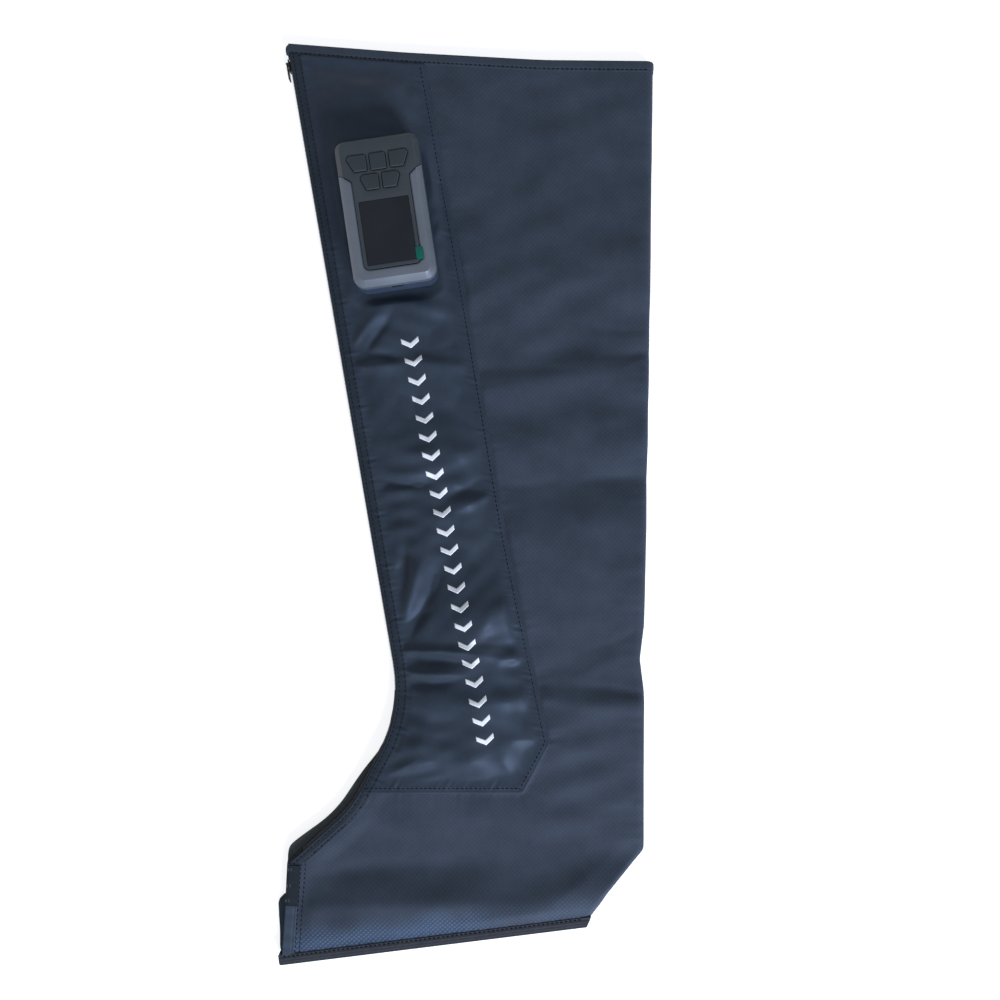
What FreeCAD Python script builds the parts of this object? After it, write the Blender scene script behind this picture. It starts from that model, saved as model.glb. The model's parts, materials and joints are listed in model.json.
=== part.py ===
import FreeCAD, Part
import math
import os

# Leg compression sleeve lying flat, with its handheld pump controller docked on the front.
# Millimetres. +Z up out of the lying plane, +Y to the thigh opening, +X to the calf and heel.
# The origin is the middle of the resting face.

# ---------------------------------------------------------------- sleeve: driving dimensions
FABRIC = 0.6             # laminated nylon outer fabric
BLADDER = 1.2            # two welded films, no air inside
LINING = 0.4
LEG_CAVITY = 6.4         # room between the two linings of the flat sleeve

THIGH_HEM = 10.3         # width of the hem round the thigh opening
TOE_HEM = 14.0
SOLE_BAND = 10.0         # width of the webbing folded over the sole seam
SOLE_WEBBING = 1.2       # its thickness
FAR_TOE_REACH = 4.0      # the far toe hem sticks out past the near one

# Sleeve outline, anticlockwise from the front of the thigh: x, y, corner radius, next edge.
OUTLINE = [
    (-163.6, 424.6, 3.0, "front"),
    (-58.5, -190.0, 130.0, "instep_upper"),
    (-106.0, -278.5, 90.0, "instep_lower"),
    (-163.5, -330.0, 3.0, "toe"),
    (-170.0, -424.2, 3.0, "sole"),
    (109.5, -389.5, 4.0, "heel"),
    (131.6, -356.5, 30.0, "heel"),
    (164.7, -319.0, 7.0, "calf"),
    (164.7, -172.0, 20.0, "calf"),
    (161.0, -142.6, 8.0, "calf"),
    (164.9, -112.0, 20.0, "calf"),
    (169.4, 130.0, 200.0, "calf"),
    (173.0, 408.4, 3.0, "mouth"),
    (70.0, 409.4, 600.0, "mouth"),
    (-57.0, 416.4, 700.0, "mouth"),
]

# Air chambers: the seams between the bladders run across the leg at these heights.
UPPER_SEAM_Y = 133.0
LOWER_SEAM_Y = -143.0
SEAM_WIDTH = 6.0
BLADDER_MARGIN = 12.0    # from the zipper edges and the sole to the bladder's weld
HEM_MARGIN = 3.0         # from a hem to the bladder's weld
LINING_MARGIN = 4.0      # from the zipper edges to the lining

# Hose cover panel: its back seam from the thigh hem down to the foot, then its bottom corner.
PANEL_SEAM = [(-1.0, 200.0, 600.0), (38.0, -31.0, 600.0), (77.3, -219.0, 2.0)]
PANEL_SEAM_TOP = (-37.7, 404.5)
PANEL_BOTTOM_CORNER = (52.4, -265.0, 2.0)
PANEL_FABRIC = 0.5
PANEL_RISE = 5.0         # height of the panel over the outer fabric
PANEL_SLOPE = 12.0       # width of its sloping border

# ---------------------------------------------------------------- zipper: driving dimensions
TAPE = 0.6
TAPE_FLANGE = 10.0       # part of the tape sewn under the fabric
TAPE_OUT = 0.9           # outer face of the tape, outside the fabric edge
COIL_HEIGHT = 1.5
COIL_DEPTH = 2.6
COIL_OUT = 2.3           # outer face of the coil, outside the fabric edge
CHAIN_GAP = 1.0          # between the two coils, where the slider's web passes
STOP_LENGTH = 2.0
STOP_PROUD = 0.2
PLACKET = 1.6            # thickness of the flap under the instep edge
PLACKET_UPPER_REACH = 6.0
PLACKET_LOWER_REACH = 11.0

SLIDER_LENGTH = 11.0
SLIDER_HEIGHT = 5.8
SLIDER_PLATE = 1.0
SLIDER_CLEARANCE = 0.3
SLIDER_WEB = 0.4
PIN_RADIUS = 0.5
PIN_CLEARANCE = 0.1
EYE_RADIUS = 1.1
EAR = 0.8
TAB_LENGTH = 15.0
TAB_WIDTH = 6.0
TAB_THICKNESS = 1.2
TAB_NECK = 1.8
TAB_STALK = 3.0          # from the pin to the blade

# ---------------------------------------------------------------- air hoses: driving dimensions
HOSE_OUTER = 2.0         # radius
HOSE_BORE = 1.25         # radius
BARB_RADIUS = 1.2
BARB_BORE = 0.7
BARB_LENGTH = 8.0
HOSE_LIFT = 0.25         # hose above the outer fabric
INLET_RADIUS = 3.5
INLET_HOLE_CLEARANCE = 0.3
INLET_TOP_GAP = 0.3      # under the cover panel

# Each hose leaves the dock straight for its lead, then follows its points to its inlet.
HOSE_LEADS = {"thigh": 26.0, "calf": 42.0, "foot": 46.0}
THIGH_ROUTE = [(-38.0, 168.0), (-25.0, 150.0)]
CALF_ROUTE = [(-46.0, 124.0), (-38.0, 84.0), (-26.0, 46.0)]
FOOT_ROUTE = [(-60.0, 112.0), (-48.5, 56.0), (-39.0, 0.0), (-27.0, -55.0),
              (-17.0, -110.0), (-2.0, -163.0), (8.0, -192.0)]

# ---------------------------------------------------------------- controller: driving dimensions
CONTROLLER_X = -69.5     # centre on the sleeve
CONTROLLER_Y = 259.8
CONTROLLER_TILT = 8.4    # degrees, follows the front edge
BODY_WIDTH = 74.0
BODY_LENGTH = 130.0
REAR_DROP = 13.0         # from the top down to the rear housing's rim
SHOULDER_DROP = 7.0      # from the top down to where the sides start to slope inwards
SHOULDER_INSET = 5.0
FOOT_CORNER = 10.5
THIGH_CORNER = 8.0
WALL = 2.2
BASE_CHAMFER = 2.0
TRIM_ARM = 11.8          # width of the trim along both sides of the front housing
TRIM_BAND = 13.5         # width of the trim across the foot end
COVER_NOTCH = 29.0       # from the thigh end to where the front housing starts to narrow
COVER_SLANT = 9.4        # length over which it narrows
COVER_CORNER = 5.0
COVER_SKIRT = 1.4
SKIRT_LIFT = 1.8         # the skirt's lower edge over the main board
GROOVE = 0.4             # between the front housing and the trim
TRIM_DROP = 1.2          # the trim lies this much under the front housing
CONTROLLER_GAP = 0.3     # between the controller's base and the dock

BOARD = 1.6
BOARD_GAP = 0.5          # over the pump and the valves
BOARD_SIDE_GAP = 1.1     # to the screw bosses
BOARD_FOOT_INSET = 18.0  # from the foot end of the housing
BOARD_THIGH_INSET = 14.0
BOARD_POST = 2.0
BOARD_POST_INSET = 3.5   # from the edges of the board

WINDOW_MARGIN = 3.2      # from the sides and foot of the narrow part of the front housing
WINDOW_KEY_GAP = 9.0     # from the lowest keys
WINDOW_THICKNESS = 1.2
WINDOW_LEDGE = 1.6
WINDOW_FIT = 0.1
DISPLAY_THICKNESS = 3.0
DISPLAY_OVERLAP = 1.0    # past the window on each side
DISPLAY_GAP = 0.4
DISPLAY_FRAME = 3.2
DISPLAY_FRAME_WALL = 1.5
FILM = 0.2
FILM_MARGIN = 0.6
FILM_TAB_REACH = 5.6     # past the window
FILM_TAB_LENGTH = 11.0
CHIP_GAP = 1.5           # between the display and the board's components

KEY_TRAVEL = 1.0
KEY_CLEARANCE = 0.35
KEY_RISE = 1.0           # key top over the front housing
KEY_FLANGE = 0.9
KEY_FLANGE_THICKNESS = 1.4
KEY_STEM = 1.5
KEY_CORNER = 1.6
SWITCH_HALF = 2.0
SWITCH_HEIGHT = 1.0
SWITCH_GAP = 0.2         # left under a key that is pressed all the way

# Corner points of each key's hole: x from the middle, y from the thigh end.
KEYS = {
    "key_power": [(-7.3, -31.3), (7.3, -31.3), (7.3, -16.2), (-7.3, -16.2)],
    "key_time": [(-22.0, -31.0), (-9.8, -31.0), (-9.8, -16.3), (-25.2, -16.0), (-27.6, -19.0)],
    "key_mode": [(9.8, -31.0), (22.0, -31.0), (27.6, -19.0), (25.2, -16.0), (9.8, -16.3)],
    "key_minus": [(-13.5, -48.0), (-1.3, -48.0), (-1.3, -34.0), (-15.0, -34.0), (-17.8, -36.8)],
    "key_plus": [(1.3, -48.0), (13.5, -48.0), (17.8, -36.8), (15.0, -34.0), (1.3, -34.0)],
}

BATTERY_HALF_WIDTH = 16.0
BATTERY_FOOT_GAP = 4.8   # to the charging board's posts
BATTERY_THIGH_GAP = 5.0  # to the air manifold
BATTERY_THICKNESS = 9.0
PORT_WIDTH = 9.2
PORT_HEIGHT = 3.2
PORT_LENGTH = 7.4
PORT_CLEARANCE = 0.4
PORT_INSET = 0.4         # behind the face of the end wall
CHARGE_BOARD_HALF_WIDTH = 9.0
CHARGE_BOARD_LENGTH = 9.0
CHARGE_BOARD_INSET = 1.3 # behind the end wall
CHARGE_BOARD_Z = 12.6
CHARGE_POST = 1.2
CHARGE_POST_X = 7.0

PUMP_INSET = 29.0        # from the thigh end to the motor's axis
PUMP_PAD = 1.7
MOTOR_RADIUS = 8.0
MOTOR_START_X = -28.0
MOTOR_LENGTH = 24.0
MOTOR_WALL = 0.8
ARMATURE_RADIUS = 6.0
SHAFT_RADIUS = 1.0
BEARING_CLEARANCE = 0.05
HEAD_LENGTH = 18.0
HEAD_HALF_WIDTH = 8.2
HEAD_WALL = 2.5
ECCENTRIC_RADIUS = 3.2
ECCENTRIC_THROW = 1.0
ECCENTRIC_LENGTH = 6.0
ECCENTRIC_ROOM = 0.4     # to the diaphragm
CRANKCASE_ROOM = 0.8     # to the walls and floor of the pump head
DIAPHRAGM = 0.8
PUMP_CAP = 2.8
DUCT_RADIUS = 1.6
DUCT_BORE = 0.9
DUCT_X = 8.0
DUCT_DROP = 16.5         # from the motor's axis to where the duct turns down

OUTLET_X = [-15.0, 0.0, 15.0]
OUTLET_GAP = 29.0        # from the motor's axis to the row of outlets
MANIFOLD_HALF_WIDTH = 23.0
MANIFOLD_HALF_DEPTH = 7.0
MANIFOLD_HEIGHT = 6.0
SOCKET_DEPTH = 6.2
NOZZLE_RADIUS = 2.4
NOZZLE_REACH = 5.0       # into the controller
SOCKET_CLEARANCE = 0.5
SEAL_SECTION = 0.55
SEAL_GROOVE = 1.0
SEAL_Z = 4.2
VALVE_HALF = 5.5
VALVE_HEIGHT = 11.4
PLUNGER_RADIUS = 1.9
PLUNGER_LENGTH = 9.6
PLUNGER_STROKE = 1.2
PLUNGER_CLEARANCE = 0.1
PLUNGER_REST = 0.2

SCREW_SIDE_INSET = 7.5   # from the sides of the housing
SCREW_END_INSET = 10.0   # from its ends
SCREW_HEAD_RADIUS = 2.2
SCREW_HEAD = 1.6
SCREW_RADIUS = 1.1
SCREW_REACH = 6.0        # thread inside the upper post
COUNTERBORE = 5.6
BOSS_RADIUS = 3.4
HOLE_CLEARANCE = 0.1
HEAD_CLEARANCE = 0.3
THREAD_CLEARANCE = 0.05
POST_STEP = 0.4          # upper post thinner than the boss under it

DOCK_SIDE_INSET = 6.0    # flange, from the sides of the controller
DOCK_END_INSET = 9.0
DOCK_RIM = 5.0           # flange past the body at the sides
DOCK_FOOT_RIM = 10.0
DOCK_THIGH_REACH = 13.0  # body past the nozzles
DOCK_FLANGE_THICKNESS = 1.2
DOCK_CORNER = 6.0
DOCK_CLEARANCE = 0.3     # to the cover panel's window
DOCK_PORT_X = {"thigh": 12.0, "calf": 0.0, "foot": -12.0}
CHANNEL_RADIUS = 1.2

# ---------------------------------------------------------------- worked out from the above
LAYERS = FABRIC + BLADDER + LINING
SLEEVE_TOP = 2 * LAYERS + LEG_CAVITY
MIDDLE_Z = SLEEVE_TOP / 2
PANEL_TOP = SLEEVE_TOP + PANEL_RISE
DOCK_TOP = PANEL_TOP + DOCK_FLANGE_THICKNESS
BASE_Z = DOCK_TOP + CONTROLLER_GAP
HOSE_Z = SLEEVE_TOP + HOSE_LIFT + HOSE_OUTER
THROUGH = 30.0           # how far cutting tools run past what they cut

# Heights inside the controller, stacked from its floor to its top.
PUMP_Z = WALL + PUMP_PAD + MOTOR_RADIUS
HEAD_TOP = PUMP_Z + ECCENTRIC_RADIUS + ECCENTRIC_THROW + ECCENTRIC_ROOM
PUMP_TOP = HEAD_TOP + DIAPHRAGM + PUMP_CAP
VALVE_Z = WALL + MANIFOLD_HEIGHT
VALVE_TOP = VALVE_Z + VALVE_HEIGHT
BOARD_Z = max(PUMP_TOP, VALVE_TOP) + BOARD_GAP
BOARD_TOP = BOARD_Z + BOARD
DISPLAY_Z = BOARD_TOP + DISPLAY_FRAME
COVER_UNDERSIDE = DISPLAY_Z + DISPLAY_THICKNESS + DISPLAY_GAP
BODY_HEIGHT = COVER_UNDERSIDE + WALL
REAR_HEIGHT = BODY_HEIGHT - REAR_DROP
SHOULDER_HEIGHT = BODY_HEIGHT - SHOULDER_DROP
SKIRT_HEIGHT = BOARD_TOP + SKIRT_LIFT

# Plan of the controller, from its middle.
SIDE_X = BODY_WIDTH / 2
FOOT_END = -BODY_LENGTH / 2
THIGH_END = BODY_LENGTH / 2
SCREW_X = SIDE_X - SCREW_SIDE_INSET
FOOT_SCREWS = [(x, FOOT_END + SCREW_END_INSET) for x in (-SCREW_X, SCREW_X)]
THIGH_SCREWS = [(x, THIGH_END - SCREW_END_INSET) for x in (-SCREW_X, SCREW_X)]
COVER_HALF_WIDTH = SIDE_X - TRIM_ARM
COVER_FOOT_Y = FOOT_END + TRIM_BAND
COVER_NOTCH_Y = THIGH_END - COVER_NOTCH
COVER_SHOULDER_Y = COVER_NOTCH_Y - COVER_SLANT
PUMP_Y = THIGH_END - PUMP_INSET
DUCT_DROP_Y = PUMP_Y - DUCT_DROP
OUTLET_Y = PUMP_Y - OUTLET_GAP
KEY_HOLES = {name: [(x, THIGH_END + y) for x, y in points] for name, points in KEYS.items()}
LOWEST_KEY_Y = min(y for points in KEY_HOLES.values() for x, y in points)
BOARD_HALF_WIDTH = SCREW_X - BOSS_RADIUS - BOARD_SIDE_GAP
BOARD_FOOT_Y = FOOT_END + BOARD_FOOT_INSET
BOARD_THIGH_Y = THIGH_END - BOARD_THIGH_INSET
WINDOW_HALF_WIDTH = COVER_HALF_WIDTH - WINDOW_MARGIN
WINDOW_FOOT_Y = COVER_FOOT_Y + WINDOW_MARGIN
WINDOW_THIGH_Y = LOWEST_KEY_Y - WINDOW_KEY_GAP
CHARGE_BOARD_Y = FOOT_END + WALL + CHARGE_BOARD_INSET
CHARGE_POST_Y = CHARGE_BOARD_Y + CHARGE_BOARD_LENGTH / 2
BATTERY_FOOT_Y = CHARGE_POST_Y + CHARGE_POST + BATTERY_FOOT_GAP
BATTERY_THIGH_Y = OUTLET_Y - MANIFOLD_HALF_DEPTH - BATTERY_THIGH_GAP
FLANGE_X = SIDE_X - DOCK_SIDE_INSET
FLANGE_Y = THIGH_END - DOCK_END_INSET
DOCK_X = FLANGE_X - DOCK_RIM
DOCK_FOOT_Y = DOCK_FOOT_RIM - FLANGE_Y
DOCK_THIGH_Y = OUTLET_Y + DOCK_THIGH_REACH


def vec(x, y, z=0.0):
    return FreeCAD.Vector(x, y, z)


def save(name, shape):
    shape.exportStep("parts/" + name + ".step")


# ---------------------------------------------------------------- outlines
def unit(a, b):
    length = math.hypot(b[0] - a[0], b[1] - a[1])
    return (b[0] - a[0]) / length, (b[1] - a[1]) / length


def crossing(p, d, q, e):
    """Where the line through p along d meets the line through q along e."""
    k = ((q[0] - p[0]) * e[1] - (q[1] - p[1]) * e[0]) / (d[0] * e[1] - d[1] * e[0])
    return p[0] + k * d[0], p[1] + k * d[1]


def inset(corners, distances, other=0.0):
    """Move each edge inwards by its own distance; corners are x, y, radius and edge name."""
    count = len(corners)
    edges = []
    for i, corner in enumerate(corners):
        d = unit(corner, corners[(i + 1) % count])
        move = distances.get(corner[3], other)
        edges.append(((corner[0] - d[1] * move, corner[1] + d[0] * move), d, move))
    moved = []
    for i, corner in enumerate(corners):
        (p, d, before), (q, e, after) = edges[i - 1], edges[i]
        turn = d[0] * e[1] - d[1] * e[0]
        shared = min(before, after, key=abs)
        radius = corner[2] - shared if turn > 0 else corner[2] + shared
        x, y = crossing(p, d, q, e)
        moved.append((x, y, max(radius, 0.3), corner[3]))
    return moved


def outline(corners, z=0.0):
    """Closed wire of straight edges with a round corner of its own radius at each point."""
    count = len(corners)
    rounds = []
    for i, corner in enumerate(corners):
        before, after = corners[i - 1], corners[(i + 1) % count]
        d, e = unit(before, corner), unit(corner, after)
        half = math.atan2(d[0] * e[1] - d[1] * e[0], d[0] * e[0] + d[1] * e[1]) / 2
        run = corner[2] * math.tan(abs(half))
        side = math.copysign(1.0, half)
        start = vec(corner[0] - run * d[0], corner[1] - run * d[1], z)
        end = vec(corner[0] + run * e[0], corner[1] + run * e[1], z)
        inward = vec(-d[1] * side, d[0] * side, 0)
        centre = start + inward * corner[2]
        to_corner = vec(corner[0], corner[1], z) - centre
        middle = centre + to_corner.normalize() * corner[2]
        rounds.append((start, middle, end))
    edges = []
    for i, (start, middle, end) in enumerate(rounds):
        edges.append(Part.Arc(start, middle, end).toShape())
        edges.append(Part.LineSegment(end, rounds[(i + 1) % count][0]).toShape())
    return Part.Wire(edges)


def prism(corners, low, high):
    return Part.Face(outline(corners, low)).extrude(vec(0, 0, high - low))


def taper(lower, low, upper, high):
    return Part.makeLoft([outline(lower, low), outline(upper, high)], True, True)


def box(low, high):
    size = [b - a for a, b in zip(low, high)]
    return Part.makeBox(size[0], size[1], size[2], vec(*low))


def rod(centre, radius, low, high):
    return Part.makeCylinder(radius, high - low, vec(centre[0], centre[1], low))


def rectangle(low_x, low_y, high_x, high_y, radius):
    points = [(low_x, low_y), (high_x, low_y), (high_x, high_y), (low_x, high_y)]
    return [(x, y, radius, "side") for x, y in points]


def tube(points, outer, bore):
    """Round hose along straight runs joined by arcs as large as the runs allow."""
    path = hose_path(points)
    start = points[0]
    heading = (points[1] - points[0]).normalize()
    sections = []
    for radius in (outer, bore):
        ring = Part.Wire(Part.makeCircle(radius, start, heading))
        sections.append(path.makePipeShell([ring], True, False))
    hose = sections[0].cut(sections[1])
    expected = math.pi * (outer ** 2 - bore ** 2) * path.Length
    print("  volume %.1f, section times length %.1f" % (hose.Volume, expected))
    return hose


def hose_path(points):
    corners = []
    for before, corner, after in zip(points, points[1:], points[2:]):
        d, e = (corner - before).normalize(), (after - corner).normalize()
        shorter = min((corner - before).Length, (after - corner).Length)
        half = d.getAngle(e) / 2
        radius = 0.45 * shorter / math.tan(half)
        run = radius * math.tan(half)
        start, end = corner - d * run, corner + e * run
        centre = corner + (e - d).normalize() * (radius / math.cos(half))
        middle = centre + (corner - centre).normalize() * radius
        corners.append((start, middle, end))
        print("  bend radius %.1f" % radius)
    edges = []
    at = points[0]
    for start, middle, end in corners:
        edges.append(Part.LineSegment(at, start).toShape())
        edges.append(Part.Arc(start, middle, end).toShape())
        at = end
    edges.append(Part.LineSegment(at, points[-1]).toShape())
    return Part.Wire(edges)


# ---------------------------------------------------------------- sleeve layers
EDGE_HEMS = {"mouth": THIGH_HEM, "toe": TOE_HEM, "sole": SOLE_BAND}


def past(distances):
    """Insets for a cutting outline that only bites at the named edges."""
    return inset(OUTLINE, distances, -THROUGH)


def fabric_face(low, high):
    return prism(inset(OUTLINE, EDGE_HEMS), low, high)


def wrap(outside, inside, low, high, thickness):
    """Layer that runs over the far side, round the calf fold and back over the near side."""
    body = prism(inset(OUTLINE, outside), low, high)
    hollow = prism(past({"calf": inside, "heel": inside}), low + thickness, high - thickness)
    return body.cut(hollow)


def outer_fabric_near():
    panel = fabric_face(SLEEVE_TOP - FABRIC, SLEEVE_TOP)
    for route in (THIGH_ROUTE, CALF_ROUTE, FOOT_ROUTE):
        radius = INLET_RADIUS + INLET_HOLE_CLEARANCE
        panel = panel.cut(rod(route[-1], radius, MIDDLE_Z, SLEEVE_TOP + 1))
    return panel


def calf_fold():
    body = fabric_face(FABRIC, SLEEVE_TOP - FABRIC)
    inside = past({"calf": FABRIC, "heel": FABRIC})
    return body.cut(prism(inside, 0, SLEEVE_TOP))


def bladder(low_y, high_y):
    outside = {"front": BLADDER_MARGIN, "instep_upper": BLADDER_MARGIN,
               "instep_lower": BLADDER_MARGIN, "toe": TOE_HEM + HEM_MARGIN,
               "sole": BLADDER_MARGIN, "heel": FABRIC, "calf": FABRIC,
               "mouth": THIGH_HEM + HEM_MARGIN}
    body = wrap(outside, FABRIC + BLADDER, FABRIC, SLEEVE_TOP - FABRIC, BLADDER)
    return body.common(box((-400, low_y, -1), (400, high_y, 2 * SLEEVE_TOP)))


def inner_lining():
    outside = {"front": LINING_MARGIN, "instep_upper": LINING_MARGIN,
               "instep_lower": LINING_MARGIN, "toe": TOE_HEM, "sole": SOLE_BAND,
               "heel": FABRIC + BLADDER, "calf": FABRIC + BLADDER, "mouth": THIGH_HEM}
    low = FABRIC + BLADDER
    return wrap(outside, LAYERS, low, SLEEVE_TOP - low, LINING)


def thigh_hem():
    """Folded band round the thigh opening, all layers thick."""
    body = prism(OUTLINE, 0, SLEEVE_TOP)
    body = body.cut(prism(past({"mouth": THIGH_HEM}), -1, SLEEVE_TOP + 1))
    hollow = prism(past({"calf": LAYERS}), LAYERS, SLEEVE_TOP - LAYERS)
    return body.cut(hollow)


def toe_hem(low, reach):
    body = prism(inset(OUTLINE, {"toe": -reach, "sole": SOLE_BAND}), low, low + LAYERS)
    return body.cut(prism(past({"toe": TOE_HEM}), -1, SLEEVE_TOP + 1))


def sole_binding():
    """Webbing folded over the sole seam."""
    body = prism(OUTLINE, 0, SLEEVE_TOP)
    body = body.cut(prism(past({"sole": SOLE_BAND}), -1, SLEEVE_TOP + 1))
    hollow = prism(past({"sole": SOLE_WEBBING}), SOLE_WEBBING, SLEEVE_TOP - SOLE_WEBBING)
    return body.cut(hollow)


def panel_corners():
    hemmed = inset(OUTLINE, EDGE_HEMS)
    top_front, top_bend = hemmed[0], hemmed[-1]
    ankle, instep = OUTLINE[1], OUTLINE[2]
    bottom_y = PANEL_BOTTOM_CORNER[1]
    bottom_front = crossing(ankle, unit(ankle, instep), (0.0, bottom_y), (1.0, 0.0))
    seam_end = PANEL_SEAM[0]
    seam_top = crossing(seam_end, unit(seam_end, PANEL_SEAM_TOP),
                        top_bend, unit(hemmed[-2], top_bend))
    seam = [(x, y, radius, "seam") for x, y, radius in reversed(PANEL_SEAM)]
    return [(top_front[0], top_front[1], 2.0, "front"),
            (ankle[0], ankle[1], ankle[2], "front"),
            (bottom_front[0], bottom_front[1], 2.0, "seam"),
            PANEL_BOTTOM_CORNER + ("seam",)] + seam + [
            (seam_top[0], seam_top[1], 2.0, "seam"),
            (top_bend[0], top_bend[1], top_bend[2], "seam")]


def hose_cover_panel():
    """Smooth cloth over the hoses, sewn down all round, with a window for the dock."""
    rim = panel_corners()
    sides = {"front": PANEL_SLOPE, "seam": PANEL_SLOPE}
    cloth = {"front": PANEL_FABRIC, "seam": PANEL_FABRIC}
    body = taper(rim, SLEEVE_TOP, inset(rim, sides), PANEL_TOP)
    inner = inset(rim, cloth)
    room = taper(inner, SLEEVE_TOP, inset(inner, sides), PANEL_TOP - PANEL_FABRIC)
    window = inset(dock_corners(), {"side": -DOCK_CLEARANCE})
    return body.cut(room).cut(on_sleeve(prism(window, SLEEVE_TOP, PANEL_TOP + 1)))


# ---------------------------------------------------------------- zipper
def edge_strip(inner, outer, low, high, start):
    """Strip along the front and instep edges, from inner to outer past the fabric edge."""
    sides = ("front", "instep_upper", "instep_lower")
    reach = {side: -outer for side in sides}
    reach.update({"mouth": start, "toe": TOE_HEM})
    body = prism(inset(OUTLINE, reach), low, high)
    return body.cut(prism(past({side: -inner for side in sides}), low - 1, high + 1))


def mirrored(low, high):
    """The same height range on the far side of the middle plane."""
    return SLEEVE_TOP - high, SLEEVE_TOP - low


COIL_LOW = MIDDLE_Z + CHAIN_GAP / 2
COIL_HIGH = COIL_LOW + COIL_HEIGHT
TAPE_TOP = SLEEVE_TOP - FABRIC
TAPE_START = THIGH_HEM
CHAIN_START = THIGH_HEM + STOP_LENGTH


def zipper_tapes():
    sides = []
    for place in (lambda low, high: (low, high), mirrored):
        flange = edge_strip(-TAPE_FLANGE, TAPE_OUT, *place(TAPE_TOP - TAPE, TAPE_TOP), TAPE_START)
        web = edge_strip(TAPE_OUT - TAPE, TAPE_OUT, *place(COIL_HIGH, TAPE_TOP), TAPE_START)
        sides.append(flange.fuse(web).removeSplitter())
    return Part.makeCompound(sides)


def zipper_coils():
    near = edge_strip(COIL_OUT - COIL_DEPTH, COIL_OUT, COIL_LOW, COIL_HIGH, CHAIN_START)
    far = edge_strip(COIL_OUT - COIL_DEPTH, COIL_OUT, *mirrored(COIL_LOW, COIL_HIGH), CHAIN_START)
    return Part.makeCompound([near, far])


def instep_placket():
    reach = {"front": -COIL_OUT, "instep_upper": -PLACKET_UPPER_REACH,
             "instep_lower": -PLACKET_LOWER_REACH}
    low = MIDDLE_Z - PLACKET / 2
    body = prism(inset(OUTLINE, reach), low, low + PLACKET)
    coil = {"front": -COIL_OUT, "instep_upper": -COIL_OUT, "instep_lower": -COIL_OUT}
    body = body.cut(prism(past(coil), low - 1, low + PLACKET + 1))
    return body.common(box((-400, -400, -1), (400, OUTLINE[1][1], 2 * SLEEVE_TOP)))


def along_zipper(shape):
    """Place a shape drawn with x down the shin and y outwards at the top of the zipper."""
    hemmed = inset(OUTLINE, {"mouth": CHAIN_START})
    top, ankle = hemmed[0], OUTLINE[1]
    d = unit(top, ankle)
    turn = math.degrees(math.atan2(d[1], d[0]))
    shape.rotate(vec(0, 0), vec(0, 0, 1), turn)
    # y now points to the right of the sleeve's front edge; outwards is the other way
    shape.translate(vec(top[0], top[1]))
    return shape


def outward(low_x, high_x, inner, outer, low, high):
    """Box in the zipper's own frame: along the shin, then from inner to outer."""
    return box((low_x, -outer, low), (high_x, -inner, high))


def zipper_stops():
    stops = []
    for low, high in ((COIL_LOW, COIL_HIGH), mirrored(COIL_LOW, COIL_HIGH)):
        stops.append(along_zipper(outward(-STOP_LENGTH, 0, COIL_OUT - COIL_DEPTH - STOP_PROUD,
                                          COIL_OUT + STOP_PROUD, low, high)))
    return Part.makeCompound(stops)


SLIDER_LOW = MIDDLE_Z - SLIDER_HEIGHT / 2
SLIDER_TOP = MIDDLE_Z + SLIDER_HEIGHT / 2
SLIDER_FACE = COIL_OUT + SLIDER_CLEARANCE + SLIDER_PLATE
SLIDER_START = SLIDER_CLEARANCE
PIN_X = SLIDER_START + SLIDER_LENGTH * 0.3
PIN_OUT = SLIDER_FACE + 0.2 + EYE_RADIUS


def zipper_slider():
    """Two plates either side of the chain, joined by a web that runs in the chain's gap."""
    end = SLIDER_START + SLIDER_LENGTH
    inner_face = COIL_OUT - COIL_DEPTH - SLIDER_CLEARANCE
    outer = outward(SLIDER_START, end, SLIDER_FACE - SLIDER_PLATE, SLIDER_FACE, SLIDER_LOW, SLIDER_TOP)
    inner = outward(SLIDER_START, end, inner_face - SLIDER_PLATE, inner_face, SLIDER_LOW, SLIDER_TOP)
    half = SLIDER_WEB / 2
    web = outward(SLIDER_START + 1, end - 1, inner_face, SLIDER_FACE - SLIDER_PLATE,
                  MIDDLE_Z - half, MIDDLE_Z + half)
    body = outer.fuse([inner, web])
    neck = TAB_NECK / 2 + SLIDER_CLEARANCE
    for low in (MIDDLE_Z - neck - EAR, MIDDLE_Z + neck):
        ear = outward(PIN_X - EYE_RADIUS, PIN_X + EYE_RADIUS, SLIDER_FACE, PIN_OUT, low, low + EAR)
        body = body.fuse([ear, rod((PIN_X, -PIN_OUT), EYE_RADIUS, low, low + EAR)])
    pin = rod((PIN_X, -PIN_OUT), PIN_RADIUS, MIDDLE_Z - neck - EAR, MIDDLE_Z + neck + EAR)
    return along_zipper(body.fuse(pin).removeSplitter())


def pull_tab():
    neck, half, wide = TAB_NECK / 2, TAB_THICKNESS / 2, TAB_WIDTH / 2
    eye = rod((PIN_X, -PIN_OUT), EYE_RADIUS, MIDDLE_Z - neck, MIDDLE_Z + neck)
    stalk = outward(PIN_X, PIN_X + TAB_STALK + 1, PIN_OUT - half, PIN_OUT + half,
                    MIDDLE_Z - neck, MIDDLE_Z + neck)
    blade = outward(PIN_X + TAB_STALK, PIN_X + TAB_LENGTH, PIN_OUT - half, PIN_OUT + half,
                    MIDDLE_Z - wide, MIDDLE_Z + wide)
    hole = rod((PIN_X, -PIN_OUT), PIN_RADIUS + PIN_CLEARANCE, 0, SLEEVE_TOP)
    return along_zipper(eye.fuse([stalk, blade]).removeSplitter().cut(hole))


# ---------------------------------------------------------------- hoses and dock
def on_sleeve(shape):
    """Place a shape drawn in the controller's own plan on the sleeve, heights unchanged."""
    shape.rotate(vec(0, 0), vec(0, 0, 1), CONTROLLER_TILT)
    shape.translate(vec(CONTROLLER_X, CONTROLLER_Y))
    return shape


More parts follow.
